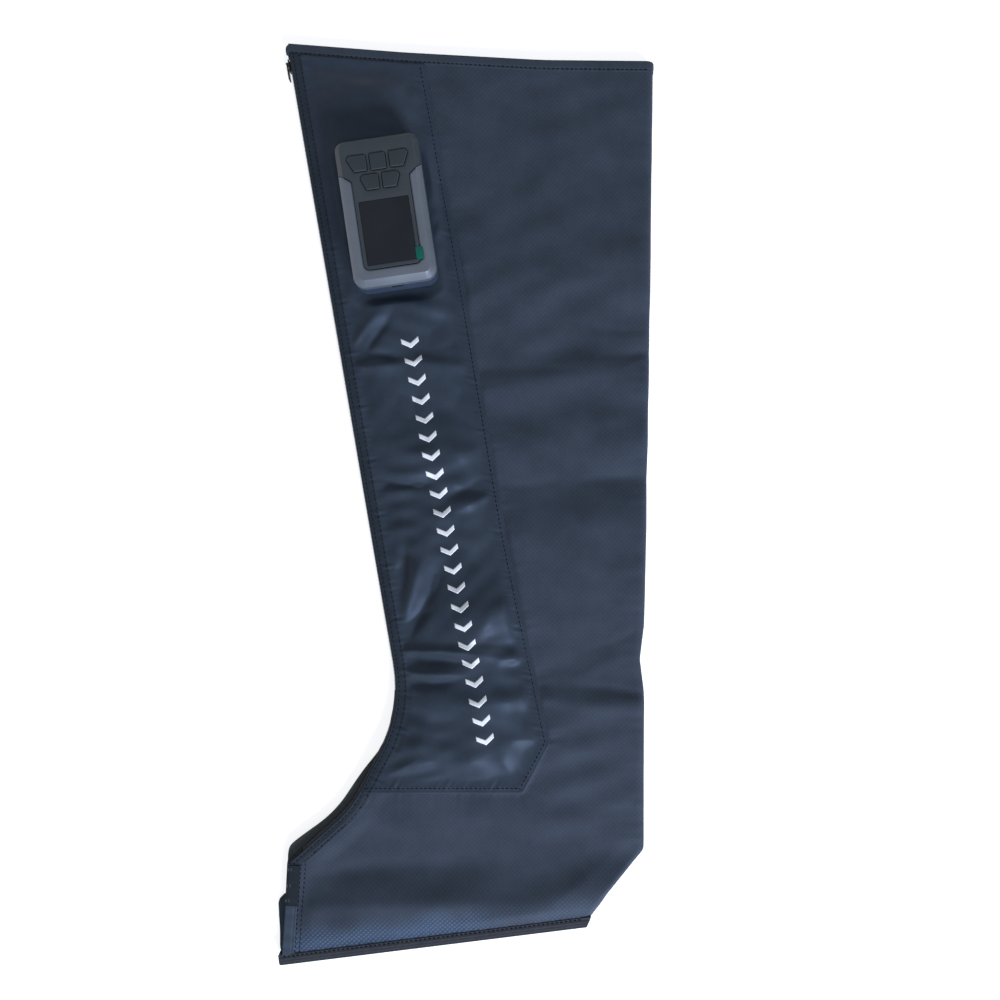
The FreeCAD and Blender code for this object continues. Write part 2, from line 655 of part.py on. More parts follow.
def on_dock(shape):
    """Place a shape drawn in the controller's own frame."""
    shape.translate(vec(0, 0, BASE_Z))
    return on_sleeve(shape)


def dock_corners():
    return rectangle(-DOCK_X, DOCK_FOOT_Y, DOCK_X, DOCK_THIGH_Y, DOCK_CORNER)


def dock_point(x, y):
    angle = math.radians(CONTROLLER_TILT)
    c, s = math.cos(angle), math.sin(angle)
    return CONTROLLER_X + x * c - y * s, CONTROLLER_Y + x * s + y * c


def hose_points(chamber, route):
    port = dock_point(DOCK_PORT_X[chamber], DOCK_FOOT_Y)
    lead = dock_point(DOCK_PORT_X[chamber], DOCK_FOOT_Y - HOSE_LEADS[chamber])
    inlet, before = route[-1], route[-2]
    d = unit(before, inlet)
    seat = (inlet[0] - d[0] * INLET_RADIUS, inlet[1] - d[1] * INLET_RADIUS)
    return [vec(x, y, HOSE_Z) for x, y in [port, lead] + route[:-1] + [seat]]


def hose(chamber, route):
    print(chamber + " hose")
    return tube(hose_points(chamber, route), HOSE_OUTER, HOSE_BORE)


def bladder_inlet(route):
    """Elbow welded on the bladder, with a barb that the hose is pushed on to."""
    inlet, before = route[-1], route[-2]
    d = unit(inlet, before)
    top = PANEL_TOP - PANEL_FABRIC - INLET_TOP_GAP
    body = rod(inlet, INLET_RADIUS, SLEEVE_TOP - FABRIC, top)
    start = vec(inlet[0], inlet[1], HOSE_Z)
    heading = vec(d[0], d[1])
    barb = Part.makeCylinder(BARB_RADIUS, INLET_RADIUS + BARB_LENGTH, start, heading)
    bore = Part.makeCylinder(BARB_BORE, INLET_RADIUS + BARB_LENGTH, start, heading)
    down = rod(inlet, BARB_BORE, SLEEVE_TOP - FABRIC, HOSE_Z)
    return body.fuse(barb).cut(bore.fuse(down))


def bladder_inlets():
    return Part.makeCompound([bladder_inlet(r) for r in (THIGH_ROUTE, CALF_ROUTE, FOOT_ROUTE)])


def dock_plate():
    """Plate under the controller: hoses enter its foot end, three nozzles stand on it."""
    body = prism(dock_corners(), SLEEVE_TOP, PANEL_TOP)
    flange = prism(rectangle(-FLANGE_X, -FLANGE_Y, FLANGE_X, FLANGE_Y, DOCK_CORNER), PANEL_TOP, DOCK_TOP)
    body = body.fuse(flange)
    for x in OUTLET_X:
        nozzle = rod((x, OUTLET_Y), NOZZLE_RADIUS, DOCK_TOP, BASE_Z + NOZZLE_REACH)
        body = body.fuse(nozzle)
    body = body.removeSplitter()
    foot = vec(0, DOCK_FOOT_Y, HOSE_Z)
    ports = sorted(DOCK_PORT_X.values())
    for x, port in zip(OUTLET_X, ports):
        barb = Part.makeCylinder(BARB_RADIUS, BARB_LENGTH, foot + vec(port, 0), vec(0, -1))
        body = body.fuse(barb)
        channel = Part.makeCylinder(BARB_BORE, OUTLET_Y - DOCK_FOOT_Y + BARB_LENGTH,
                                    foot + vec(port, -BARB_LENGTH), vec(0, 1))
        cross = box((min(x, port) - BARB_BORE, OUTLET_Y - BARB_BORE, HOSE_Z - BARB_BORE),
                    (max(x, port) + BARB_BORE, OUTLET_Y + BARB_BORE, HOSE_Z + BARB_BORE))
        rise = rod((x, OUTLET_Y), CHANNEL_RADIUS, HOSE_Z, BASE_Z + NOZZLE_REACH)
        body = body.cut(channel.fuse([cross, rise]))
    return on_sleeve(body)


# ---------------------------------------------------------------- controller housings
def body_corners():
    return [(-SIDE_X, FOOT_END, FOOT_CORNER, "side"), (SIDE_X, FOOT_END, FOOT_CORNER, "side"),
            (SIDE_X, THIGH_END, THIGH_CORNER, "side"), (-SIDE_X, THIGH_END, THIGH_CORNER, "side")]


def cover_corners(grow=0.0):
    """T-shaped plan of the front housing: wide at the thigh end, narrow between the trim."""
    wide = SIDE_X + THROUGH
    slope = (COVER_NOTCH_Y - COVER_SHOULDER_Y) / TRIM_ARM
    notch = COVER_NOTCH_Y + THROUGH * slope
    far = THIGH_END + 2 * THROUGH
    corners = [(-COVER_HALF_WIDTH, COVER_FOOT_Y, COVER_CORNER, "side"),
               (COVER_HALF_WIDTH, COVER_FOOT_Y, COVER_CORNER, "side"),
               (COVER_HALF_WIDTH, COVER_SHOULDER_Y, 2.0, "side"),
               (wide, notch, 1.0, "side"), (wide, far, 1.0, "side"),
               (-wide, far, 1.0, "side"), (-wide, notch, 1.0, "side"),
               (-COVER_HALF_WIDTH, COVER_SHOULDER_Y, 2.0, "side")]
    return inset(corners, {"side": -grow})


def crown(shrink, base, top):
    """Upright sides up to the shoulder, then sloping in to the top."""
    side = inset(body_corners(), {"side": shrink})
    crest = inset(body_corners(), {"side": shrink + SHOULDER_INSET})
    return prism(side, base, SHOULDER_HEIGHT).fuse(taper(side, SHOULDER_HEIGHT, crest, top))


def rear_housing():
    side = body_corners()
    foot = inset(side, {"side": BASE_CHAMFER})
    body = taper(foot, 0, side, BASE_CHAMFER).fuse(prism(side, BASE_CHAMFER, REAR_HEIGHT))
    body = body.cut(prism(inset(side, {"side": WALL}), WALL, REAR_HEIGHT + 1))
    screws = FOOT_SCREWS + THIGH_SCREWS
    posts = [rod(place, BOSS_RADIUS, WALL, REAR_HEIGHT) for place in screws]
    post_x = BOARD_HALF_WIDTH - BOARD_POST_INSET
    for y in (BOARD_FOOT_Y + BOARD_POST_INSET, BOARD_THIGH_Y - BOARD_POST_INSET):
        posts += [rod((x, y), BOARD_POST, WALL, BOARD_Z) for x in (-post_x, post_x)]
    for x in (-CHARGE_POST_X, CHARGE_POST_X):
        posts.append(rod((x, CHARGE_POST_Y), CHARGE_POST, WALL, CHARGE_BOARD_Z))
    body = body.fuse(posts).removeSplitter()
    for place in screws:
        body = body.cut(rod(place, SCREW_HEAD_RADIUS + HEAD_CLEARANCE, -1, COUNTERBORE))
        body = body.cut(rod(place, SCREW_RADIUS + HOLE_CLEARANCE, 0, REAR_HEIGHT + 1))
    for x in OUTLET_X:
        body = body.cut(rod((x, OUTLET_Y), NOZZLE_RADIUS + SOCKET_CLEARANCE, -1, WALL + 1))
    half = PORT_WIDTH / 2 + PORT_CLEARANCE
    low = CHARGE_BOARD_Z + BOARD - PORT_CLEARANCE
    slot = box((-half, -BODY_LENGTH, low),
               (half, FOOT_END + WALL + 1, low + PORT_HEIGHT + 2 * PORT_CLEARANCE))
    return on_dock(body.cut(slot))


def upper_posts(places, top):
    posts = []
    for place in places:
        post = rod(place, BOSS_RADIUS - POST_STEP, REAR_HEIGHT, top)
        hole = rod(place, SCREW_RADIUS + THREAD_CLEARANCE, REAR_HEIGHT, REAR_HEIGHT + SCREW_REACH + 1)
        posts.append(post.cut(hole))
    return posts


def front_housing():
    plan = prism(cover_corners(), REAR_HEIGHT, BODY_HEIGHT + 1)
    body = crown(0, REAR_HEIGHT, BODY_HEIGHT).common(plan)
    room = crown(WALL, REAR_HEIGHT - 1, COVER_UNDERSIDE)
    body = body.cut(room.common(prism(cover_corners(-COVER_SKIRT), REAR_HEIGHT - 1, BODY_HEIGHT)))
    under_skirt = box((-COVER_HALF_WIDTH - 1, COVER_FOOT_Y - 1, 0),
                      (COVER_HALF_WIDTH + 1, COVER_SHOULDER_Y + 2 * COVER_SKIRT, SKIRT_HEIGHT))
    body = body.cut(under_skirt)
    body = body.fuse(upper_posts(THIGH_SCREWS, COVER_UNDERSIDE + 0.5)).removeSplitter()
    recess = prism(window_plan(0.0), BODY_HEIGHT - WINDOW_THICKNESS, BODY_HEIGHT + 1)
    sight = prism(window_plan(WINDOW_LEDGE), REAR_HEIGHT, BODY_HEIGHT)
    body = body.cut(recess.fuse(sight))
    for points in KEY_HOLES.values():
        body = body.cut(prism(key_plan(points, 0.0), SHOULDER_HEIGHT, BODY_HEIGHT + 1))
    return on_dock(body)


def side_trim():
    body = crown(0, REAR_HEIGHT, BODY_HEIGHT - TRIM_DROP)
    body = body.cut(prism(cover_corners(GROOVE), REAR_HEIGHT - 1, BODY_HEIGHT + 1))
    room = crown(WALL, REAR_HEIGHT - 1, COVER_UNDERSIDE - TRIM_DROP)
    body = body.cut(room)
    posts = upper_posts(FOOT_SCREWS, COVER_UNDERSIDE - TRIM_DROP)
    return on_dock(body.fuse(posts).removeSplitter())


def window_plan(margin):
    return rectangle(margin - WINDOW_HALF_WIDTH, WINDOW_FOOT_Y + margin,
                     WINDOW_HALF_WIDTH - margin, WINDOW_THIGH_Y - margin, 0.8)


def display_window():
    return on_dock(prism(window_plan(WINDOW_FIT), BODY_HEIGHT - WINDOW_THICKNESS, BODY_HEIGHT))


def screen_film():
    return on_dock(prism(window_plan(FILM_MARGIN), BODY_HEIGHT, BODY_HEIGHT + FILM))


def film_tab():
    low_y = WINDOW_FOOT_Y - FILM_MARGIN
    plan = rectangle(WINDOW_HALF_WIDTH - FILM_MARGIN, low_y, WINDOW_HALF_WIDTH + FILM_TAB_REACH,
                     low_y + FILM_TAB_LENGTH, 0.5)
    return on_dock(prism(plan, BODY_HEIGHT, BODY_HEIGHT + FILM))


# ---------------------------------------------------------------- controller electronics
def display_module():
    half = WINDOW_HALF_WIDTH + DISPLAY_OVERLAP
    plan = rectangle(-half, WINDOW_FOOT_Y, half, WINDOW_THIGH_Y, 0.5)
    return on_dock(prism(plan, DISPLAY_Z, DISPLAY_Z + DISPLAY_THICKNESS))


def display_frame():
    low_y = BOARD_FOOT_Y + 0.5
    half, wall = WINDOW_HALF_WIDTH, DISPLAY_FRAME_WALL
    ring = rectangle(-half, low_y, half, WINDOW_THIGH_Y, 0.5)
    hole = inset(ring, {"side": wall})
    return on_dock(prism(ring, BOARD_TOP, DISPLAY_Z).cut(prism(hole, BOARD_TOP, DISPLAY_Z)))


def main_board():
    plan = rectangle(-BOARD_HALF_WIDTH, BOARD_FOOT_Y, BOARD_HALF_WIDTH, BOARD_THIGH_Y, 1.0)
    return on_dock(prism(plan, BOARD_Z, BOARD_TOP))


def middle(points):
    return (sum(p[0] for p in points) / len(points), sum(p[1] for p in points) / len(points))


def key_switches():
    switches = []
    for points in KEY_HOLES.values():
        x, y = middle(points)
        plan = rectangle(x - SWITCH_HALF, y - SWITCH_HALF, x + SWITCH_HALF, y + SWITCH_HALF, 0.3)
        switches.append(on_dock(prism(plan, BOARD_TOP, BOARD_TOP + SWITCH_HEIGHT)))
    return Part.makeCompound(switches)


def board_components():
    """Microcontroller, motor driver and pressure sensor on the board between display and keys."""
    chips = []
    for x, width, length in ((-1.5, 7.0, 6.0), (8.5, 5.0, 5.0), (-11.5, 5.0, 4.0)):
        low_y = WINDOW_THIGH_Y + CHIP_GAP
        plan = rectangle(x - width / 2, low_y, x + width / 2, low_y + length, 0.2)
        chips.append(on_dock(prism(plan, BOARD_TOP, BOARD_TOP + SWITCH_HEIGHT)))
    return Part.makeCompound(chips)


def key_plan(points, clearance):
    corners = [(x, y, KEY_CORNER, "side") for x, y in points]
    return inset(corners, {"side": clearance})


def key(points):
    """Cap that slides in its hole, held in by a flange, with a stem over its switch."""
    flange_low = COVER_UNDERSIDE - DISPLAY_GAP - KEY_FLANGE_THICKNESS
    flange = prism(key_plan(points, KEY_CLEARANCE - KEY_FLANGE), flange_low,
                   COVER_UNDERSIDE - DISPLAY_GAP)
    top = BODY_HEIGHT + KEY_RISE
    cap = prism(key_plan(points, KEY_CLEARANCE), flange_low, top - 0.5)
    crest = taper(key_plan(points, KEY_CLEARANCE), top - 0.5, key_plan(points, KEY_CLEARANCE + 0.5), top)
    stem_low = BOARD_TOP + SWITCH_HEIGHT + KEY_TRAVEL + SWITCH_GAP
    stem = rod(middle(points), KEY_STEM, stem_low, flange_low)
    return on_dock(cap.fuse([flange, crest, stem]).removeSplitter())


def battery_pack():
    half = BATTERY_HALF_WIDTH
    plan = rectangle(-half, BATTERY_FOOT_Y, half, BATTERY_THIGH_Y, 2.0)
    return on_dock(prism(plan, WALL, WALL + BATTERY_THICKNESS))


def charge_board():
    half = CHARGE_BOARD_HALF_WIDTH
    plan = rectangle(-half, CHARGE_BOARD_Y, half, CHARGE_BOARD_Y + CHARGE_BOARD_LENGTH, 0.5)
    return on_dock(prism(plan, CHARGE_BOARD_Z, CHARGE_BOARD_Z + BOARD))


def charging_port():
    low = CHARGE_BOARD_Z + BOARD
    half = PORT_WIDTH / 2
    front = FOOT_END + PORT_INSET
    shell = box((-half, front, low), (half, front + PORT_LENGTH, low + PORT_HEIGHT))
    mouth = box((-half + 0.5, front - 1, low + 0.5),
                (half - 0.5, front + PORT_LENGTH - 1.5, low + PORT_HEIGHT - 0.5))
    tongue = box((-half + 1.5, front + 1, low + 1.25), (half - 1.5, front + PORT_LENGTH - 1.5, low + 1.95))
    return on_dock(shell.cut(mouth).fuse(tongue).removeSplitter())


def housing_screws():
    screws = []
    for place in FOOT_SCREWS + THIGH_SCREWS:
        head = rod(place, SCREW_HEAD_RADIUS, COUNTERBORE - SCREW_HEAD, COUNTERBORE)
        shank = rod(place, SCREW_RADIUS, COUNTERBORE, REAR_HEIGHT + SCREW_REACH)
        screws.append(on_dock(head.fuse(shank).removeSplitter()))
    return Part.makeCompound(screws)


# ---------------------------------------------------------------- pump
HEAD_X = MOTOR_START_X + MOTOR_LENGTH


def along_pump(start, length, radius, offset=0.0):
    return Part.makeCylinder(radius, length, vec(start, PUMP_Y, PUMP_Z + offset), vec(1, 0))


def motor_can():
    can = along_pump(MOTOR_START_X, MOTOR_LENGTH, MOTOR_RADIUS)
    room = along_pump(MOTOR_START_X + MOTOR_WALL, MOTOR_LENGTH - 2 * MOTOR_WALL,
                      MOTOR_RADIUS - MOTOR_WALL)
    bearing = along_pump(HEAD_X - 2, 4, SHAFT_RADIUS + BEARING_CLEARANCE)
    return on_dock(can.cut(room.fuse(bearing)))


def pump_rotor():
    """Armature, shaft and the eccentric that drives the diaphragm."""
    shaft_end = HEAD_X + HEAD_WALL + ECCENTRIC_LENGTH + 1
    shaft = along_pump(MOTOR_START_X + MOTOR_WALL + 0.3, shaft_end - MOTOR_START_X - MOTOR_WALL - 0.3,
                       SHAFT_RADIUS)
    armature = along_pump(MOTOR_START_X + 4, MOTOR_LENGTH - 8, ARMATURE_RADIUS)
    eccentric = along_pump(HEAD_X + HEAD_WALL + 0.5, ECCENTRIC_LENGTH, ECCENTRIC_RADIUS, ECCENTRIC_THROW)
    return on_dock(shaft.fuse([armature, eccentric]).removeSplitter())


def head_block(low, high):
    return box((HEAD_X, PUMP_Y - HEAD_HALF_WIDTH, low), (HEAD_X + HEAD_LENGTH, PUMP_Y + HEAD_HALF_WIDTH, high))


def pump_head():
    sweep = ECCENTRIC_RADIUS + ECCENTRIC_THROW + CRANKCASE_ROOM
    room = box((HEAD_X + HEAD_WALL, PUMP_Y - sweep, PUMP_Z - sweep),
               (HEAD_X + HEAD_LENGTH - HEAD_WALL, PUMP_Y + sweep, HEAD_TOP + 1))
    hole = along_pump(HEAD_X - 1, HEAD_WALL + 2, SHAFT_RADIUS + 0.4)
    return on_dock(head_block(WALL + PUMP_PAD, HEAD_TOP).cut(room.fuse(hole)))


def pump_diaphragm():
    return on_dock(head_block(HEAD_TOP, HEAD_TOP + DIAPHRAGM))


DUCT_TOP_Z = HEAD_TOP + DIAPHRAGM + PUMP_CAP / 2
DUCT_LOW_Z = WALL + MANIFOLD_HEIGHT / 2


def pump_cap():
    cap = head_block(HEAD_TOP + DIAPHRAGM, PUMP_TOP)
    bore = Part.makeCylinder(DUCT_BORE, 6, vec(DUCT_X, PUMP_Y - HEAD_HALF_WIDTH - 1, DUCT_TOP_Z), vec(0, 1))
    return on_dock(cap.cut(bore))


def air_duct():
    """Moulded silicone elbow from the pump's outlet down to the manifold."""
    points = [vec(DUCT_X, PUMP_Y - HEAD_HALF_WIDTH, DUCT_TOP_Z), vec(DUCT_X, DUCT_DROP_Y, DUCT_TOP_Z),
              vec(DUCT_X, DUCT_DROP_Y, DUCT_LOW_Z),
              vec(DUCT_X, OUTLET_Y + MANIFOLD_HALF_DEPTH, DUCT_LOW_Z)]
    print("air duct")
    return on_dock(tube(points, DUCT_RADIUS, DUCT_BORE))


def foam_pad():
    plan = rectangle(MOTOR_START_X, PUMP_Y - 6, HEAD_X + HEAD_LENGTH, PUMP_Y + 6, 1.0)
    return on_dock(prism(plan, WALL, WALL + PUMP_PAD))


# ---------------------------------------------------------------- manifold and valves
def air_manifold():
    body = box((-MANIFOLD_HALF_WIDTH, OUTLET_Y - MANIFOLD_HALF_DEPTH, WALL),
               (MANIFOLD_HALF_WIDTH, OUTLET_Y + MANIFOLD_HALF_DEPTH, WALL + MANIFOLD_HEIGHT))
    socket = NOZZLE_RADIUS + SOCKET_CLEARANCE
    for x in OUTLET_X:
        body = body.cut(rod((x, OUTLET_Y), socket, 0, SOCKET_DEPTH))
        body = body.cut(rod((x, OUTLET_Y), socket + SEAL_GROOVE, SEAL_Z - 0.7, SEAL_Z + 0.7))
        body = body.cut(rod((x, OUTLET_Y), 0.8, SOCKET_DEPTH, WALL + MANIFOLD_HEIGHT + 1))
    inlet = Part.makeCylinder(DUCT_BORE, 3, vec(DUCT_X, OUTLET_Y + MANIFOLD_HALF_DEPTH - 3, DUCT_LOW_Z),
                              vec(0, 1))
    return on_dock(body.cut(inlet))


def outlet_seals():
    seals = []
    for x in OUTLET_X:
        ring = Part.makeTorus(NOZZLE_RADIUS + SOCKET_CLEARANCE + 0.4, SEAL_SECTION)
        ring.translate(vec(x, OUTLET_Y, SEAL_Z))
        seals.append(on_dock(ring))
    return Part.makeCompound(seals)


def valve_coils():
    coils = []
    for x in OUTLET_X:
        body = box((x - VALVE_HALF, OUTLET_Y - VALVE_HALF, VALVE_Z),
                   (x + VALVE_HALF, OUTLET_Y + VALVE_HALF, VALVE_TOP))
        depth = PLUNGER_REST + PLUNGER_LENGTH + PLUNGER_STROKE + 0.2
        coils.append(on_dock(body.cut(rod((x, OUTLET_Y), PLUNGER_RADIUS + PLUNGER_CLEARANCE,
                                          VALVE_Z, VALVE_Z + depth))))
    return Part.makeCompound(coils)


def valve_plunger(x):
    low = VALVE_Z + PLUNGER_REST
    return on_dock(rod((x, OUTLET_Y), PLUNGER_RADIUS, low, low + PLUNGER_LENGTH))


# ---------------------------------------------------------------- build
def build_sleeve():
    half_seam = SEAM_WIDTH / 2
    save("outer_fabric_near", outer_fabric_near())
    save("outer_fabric_far", fabric_face(0, FABRIC))
    save("calf_fold", calf_fold())
    save("thigh_bladder", bladder(UPPER_SEAM_Y + half_seam, 500))
    save("calf_bladder", bladder(LOWER_SEAM_Y + half_seam, UPPER_SEAM_Y - half_seam))
    save("foot_bladder", bladder(-500, LOWER_SEAM_Y - half_seam))
    save("inner_lining", inner_lining())
    save("thigh_hem", thigh_hem())
    save("toe_hem_near", toe_hem(SLEEVE_TOP - LAYERS, 0.0))
    save("toe_hem_far", toe_hem(0.0, FAR_TOE_REACH))
    save("sole_binding", sole_binding())
    save("hose_cover_panel", hose_cover_panel())
    save("instep_placket", instep_placket())


def build_zipper():
    save("zipper_tapes", zipper_tapes())
    save("zipper_coils", zipper_coils())
    save("zipper_stops", zipper_stops())
    save("zipper_slider", zipper_slider())
    save("pull_tab", pull_tab())


def build_air_line():
    save("thigh_hose", hose("thigh", THIGH_ROUTE))
    save("calf_hose", hose("calf", CALF_ROUTE))
    save("foot_hose", hose("foot", FOOT_ROUTE))
    save("bladder_inlets", bladder_inlets())
    save("dock_plate", dock_plate())


def build_controller():
    save("rear_housing", rear_housing())
    save("front_housing", front_housing())
    save("side_trim", side_trim())
    save("display_window", display_window())
    save("screen_film", screen_film())
    save("film_tab", film_tab())
    save("display_module", display_module())
    save("display_frame", display_frame())
    save("main_board", main_board())
    save("key_switches", key_switches())
    save("board_components", board_components())
    save("battery_pack", battery_pack())
    save("charge_board", charge_board())
    save("charging_port", charging_port())
    save("housing_screws", housing_screws())
    for name, points in KEY_HOLES.items():
        save(name, key(points))


def build_pump():
    save("motor_can", motor_can())
    save("pump_rotor", pump_rotor())
    save("pump_head", pump_head())
    save("pump_diaphragm", pump_diaphragm())
    save("pump_cap", pump_cap())
    save("air_duct", air_duct())
    save("foam_pad", foam_pad())
    save("air_manifold", air_manifold())
    save("outlet_seals", outlet_seals())
    save("valve_coils", valve_coils())
    for name, x in zip(("plunger_thigh", "plunger_calf", "plunger_foot"), reversed(OUTLET_X)):
        save(name, valve_plunger(x))


os.makedirs("parts", exist_ok=True)
build_sleeve()
build_zipper()
build_air_line()
build_controller()
build_pump()
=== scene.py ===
import json
import math
import bpy
import numpy as np
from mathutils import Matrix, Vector


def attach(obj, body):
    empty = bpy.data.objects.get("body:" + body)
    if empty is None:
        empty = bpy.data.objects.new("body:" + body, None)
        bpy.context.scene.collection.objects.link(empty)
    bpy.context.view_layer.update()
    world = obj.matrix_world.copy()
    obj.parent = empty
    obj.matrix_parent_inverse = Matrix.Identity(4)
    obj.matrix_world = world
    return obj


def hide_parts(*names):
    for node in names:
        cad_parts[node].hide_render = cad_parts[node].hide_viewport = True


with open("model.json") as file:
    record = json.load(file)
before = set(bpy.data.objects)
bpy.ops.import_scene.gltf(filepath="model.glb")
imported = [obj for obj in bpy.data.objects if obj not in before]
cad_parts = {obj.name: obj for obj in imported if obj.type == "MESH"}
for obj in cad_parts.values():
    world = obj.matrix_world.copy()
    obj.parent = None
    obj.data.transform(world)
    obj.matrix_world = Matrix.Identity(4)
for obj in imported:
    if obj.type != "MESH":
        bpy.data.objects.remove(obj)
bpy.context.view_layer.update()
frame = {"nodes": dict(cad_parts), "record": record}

MM = 0.001


# ---------------------------------------------------------------- studio
# A pale matt table top, a large soft lamp low on the foot side, a weaker one on the thigh side,
# and a camera that hangs straight over the middle of the sleeve, thigh end up.
def colour(code):
    """sRGB hex to linear red, green, blue, alpha."""
    values = [int(code[i:i + 2], 16) / 255 for i in (1, 3, 5)]
    return [v / 12.92 if v <= 0.04045 else ((v + 0.055) / 1.055) ** 2.4 for v in values] + [1.0]


def add(tree, kind, inputs={}, **settings):
    """One node: settings are its own properties, inputs its sockets' values or links."""
    new = tree.nodes.new(kind)
    for key, value in settings.items():
        setattr(new, key, value)
    for socket, value in inputs.items():
        if isinstance(value, bpy.types.NodeSocket):
            tree.links.new(value, new.inputs[socket])
        else:
            new.inputs[socket].default_value = value
    return new


def link_object(name, data):
    obj = bpy.data.objects.new(name, data)
    bpy.context.scene.collection.objects.link(obj)
    return obj


def white_to(tree):
    """One where a ray looks at the backdrop: straight, in a reflection or through glass."""
    ray = add(tree, "ShaderNodeLightPath")
    direct = add(tree, "ShaderNodeMath", {0: ray.outputs["Is Camera Ray"],
                                          1: ray.outputs["Is Transmission Ray"]}, operation="MAXIMUM")
    return add(tree, "ShaderNodeMath", {0: direct.outputs[0], 1: ray.outputs["Is Glossy Ray"]},
               operation="MAXIMUM")


world = bpy.data.worlds.new("studio_air")
bpy.context.scene.world = world
world.use_nodes = True
air = world.node_tree
air.nodes.clear()
seen = white_to(air)
AIR_LIGHT = 0.27         # the air's light on the object, which a straight look doesn't see
soft = add(air, "ShaderNodeBackground", {"Color": colour("#e2e8f0"), "Strength": AIR_LIGHT})
white = add(air, "ShaderNodeBackground", {"Color": (1, 1, 1, 1), "Strength": 1.0})
both = add(air, "ShaderNodeMixShader", {0: seen.outputs[0], 1: soft.outputs[0], 2: white.outputs[0]})
add(air, "ShaderNodeOutputWorld", {"Surface": both.outputs[0]})

FLOOR_SIDE = 8.0
FLOOR_DROP = 0.0005
FLOOR_GLOW = 0.76        # added where the floor is looked at, so that it reads as white
floor_mesh = bpy.data.meshes.new("table_top")
half = FLOOR_SIDE / 2
floor_mesh.from_pydata([(-half, -half, 0), (half, -half, 0), (half, half, 0), (-half, half, 0)],
                       [], [(0, 1, 2, 3)])
floor = link_object("table_top", floor_mesh)
floor.location.z = -FLOOR_DROP
matt_white = bpy.data.materials.new("matt_white_laminate")
matt_white.use_nodes = True
tree = matt_white.node_tree
tree.nodes.clear()
grain = add(tree, "ShaderNodeTexNoise", {"Scale": 90.0, "Detail": 3.0})
tone = add(tree, "ShaderNodeMix", {0: grain.outputs["Fac"], 6: colour("#f1f2f3"),
                                   7: colour("#f6f6f7")}, data_type="RGBA")
matt = add(tree, "ShaderNodeBsdfDiffuse", {"Color": tone.outputs[2]})
lift = add(tree, "ShaderNodeMath", {0: white_to(tree).outputs[0], 1: FLOOR_GLOW},
           operation="MULTIPLY")
glow = add(tree, "ShaderNodeEmission", {"Strength": lift.outputs[0]})
top = add(tree, "ShaderNodeAddShader", {0: matt.outputs[0], 1: glow.outputs[0]})
add(tree, "ShaderNodeOutputMaterial", {"Surface": top.outputs[0]})
floor_mesh.materials.append(matt_white)

for name, place, size, watts, tint in (
        ("foot_side_lamp", (2.0, -3.6, 2.15), 1.6, 265.0, "#e0ebff"),
        ("thigh_side_lamp", (-0.9, 1.0, 1.5), 1.4, 1.8, "#c8d6ff")):
    lamp = bpy.data.lights.new(name, "AREA")
    lamp.energy = watts
    lamp.size = size
    lamp.color = colour(tint)[:3]
    holder = link_object(name, lamp)
    holder.location = place
    holder.rotation_euler = (-Vector(place)).to_track_quat("-Z", "Y").to_euler()

CAMERA_HEIGHT = 0.7508
CAMERA_OVER = (0.0313, 0.0046)
SENSOR = 36.0
LENS = 28.96
camera = link_object("camera", bpy.data.cameras.new("camera"))
camera.data.sensor_width = SENSOR
camera.data.lens = LENS
camera.location = (*CAMERA_OVER, CAMERA_HEIGHT)
bpy.context.scene.camera = camera
bpy.context.scene.view_settings.view_transform = "Standard"


# ---------------------------------------------------------------- sleeve: outer cloth
# One piece of laminated ripstop nylon, folded over at the calf: near and far side of the flat leg.
# Sizes are in millimetres from here on: x to the calf and heel, y to the thigh, z up.
FRONT_CORNERS = [(-163.6, 424.6, 0), (-58.5, -190.0, 130), (-106.0, -278.5, 90),
                 (-163.5, -330.0, 3), (-170.0, -424.2, 0)]
CALF_CORNERS = [(109.5, -389.5, 0), (131.6, -356.5, 30), (164.7, -319.0, 7), (164.7, -172.0, 20),
                (161.0, -142.6, 8), (164.9, -112.0, 20), (169.4, 130.0, 200), (173.0, 408.4, 0)]
MOUTH_CORNERS = [(-163.6, 424.6, 0), (-57.0, 416.4, 700), (70.0, 409.4, 600), (173.0, 408.4, 0)]
SOLE_CORNERS = [(-170.0, -424.2, 0), (109.5, -389.5, 0)]
SLEEVE_TOP = 10.8
CLOTH = 0.6
BLADDER = 1.2
LINING = 0.4
FOLD_REACH = 7.0         # how far in from the calf edge the cloth starts to roll over
STITCH_ROWS = (2.8, 8.5) # twin-needle rows, from a sewn edge
HEM_BAND = 9.4           # cloth turned under along the front edge
MOUTH_HEM = 10.3         # width of the folded hem round the thigh opening
SOLE_BAND = 10.0         # width of the binding along the sole


def rounded(corners, step=3.0):
    """Evenly spaced points along straight runs with a round bend of its radius at each corner."""
    places = [np.array(corner[:2]) for corner in corners]
    line = [places[0]]
    for i in range(1, len(corners) - 1):
        back = (places[i - 1] - places[i]) / np.linalg.norm(places[i - 1] - places[i])
        on = (places[i + 1] - places[i]) / np.linalg.norm(places[i + 1] - places[i])
        run = corners[i][2] / math.tan(math.acos(np.clip(back @ on, -1, 1)) / 2)
        for k in np.linspace(0, 1, 9):
            line.append(places[i] + back * run * (1 - k) ** 2 + on * run * k ** 2)
    line.append(places[-1])
    return even(np.array(line), step)


def lengths(line):
    return np.concatenate([[0], np.cumsum(np.linalg.norm(np.diff(line, axis=0), axis=1))])


def even(line, step):
    """The same line with its points an even distance apart."""
    along = lengths(line)
    stops = np.linspace(0, along[-1], max(2, round(along[-1] / step) + 1))
    return np.stack([np.interp(stops, along, line[:, k]) for k in range(line.shape[1])], 1)


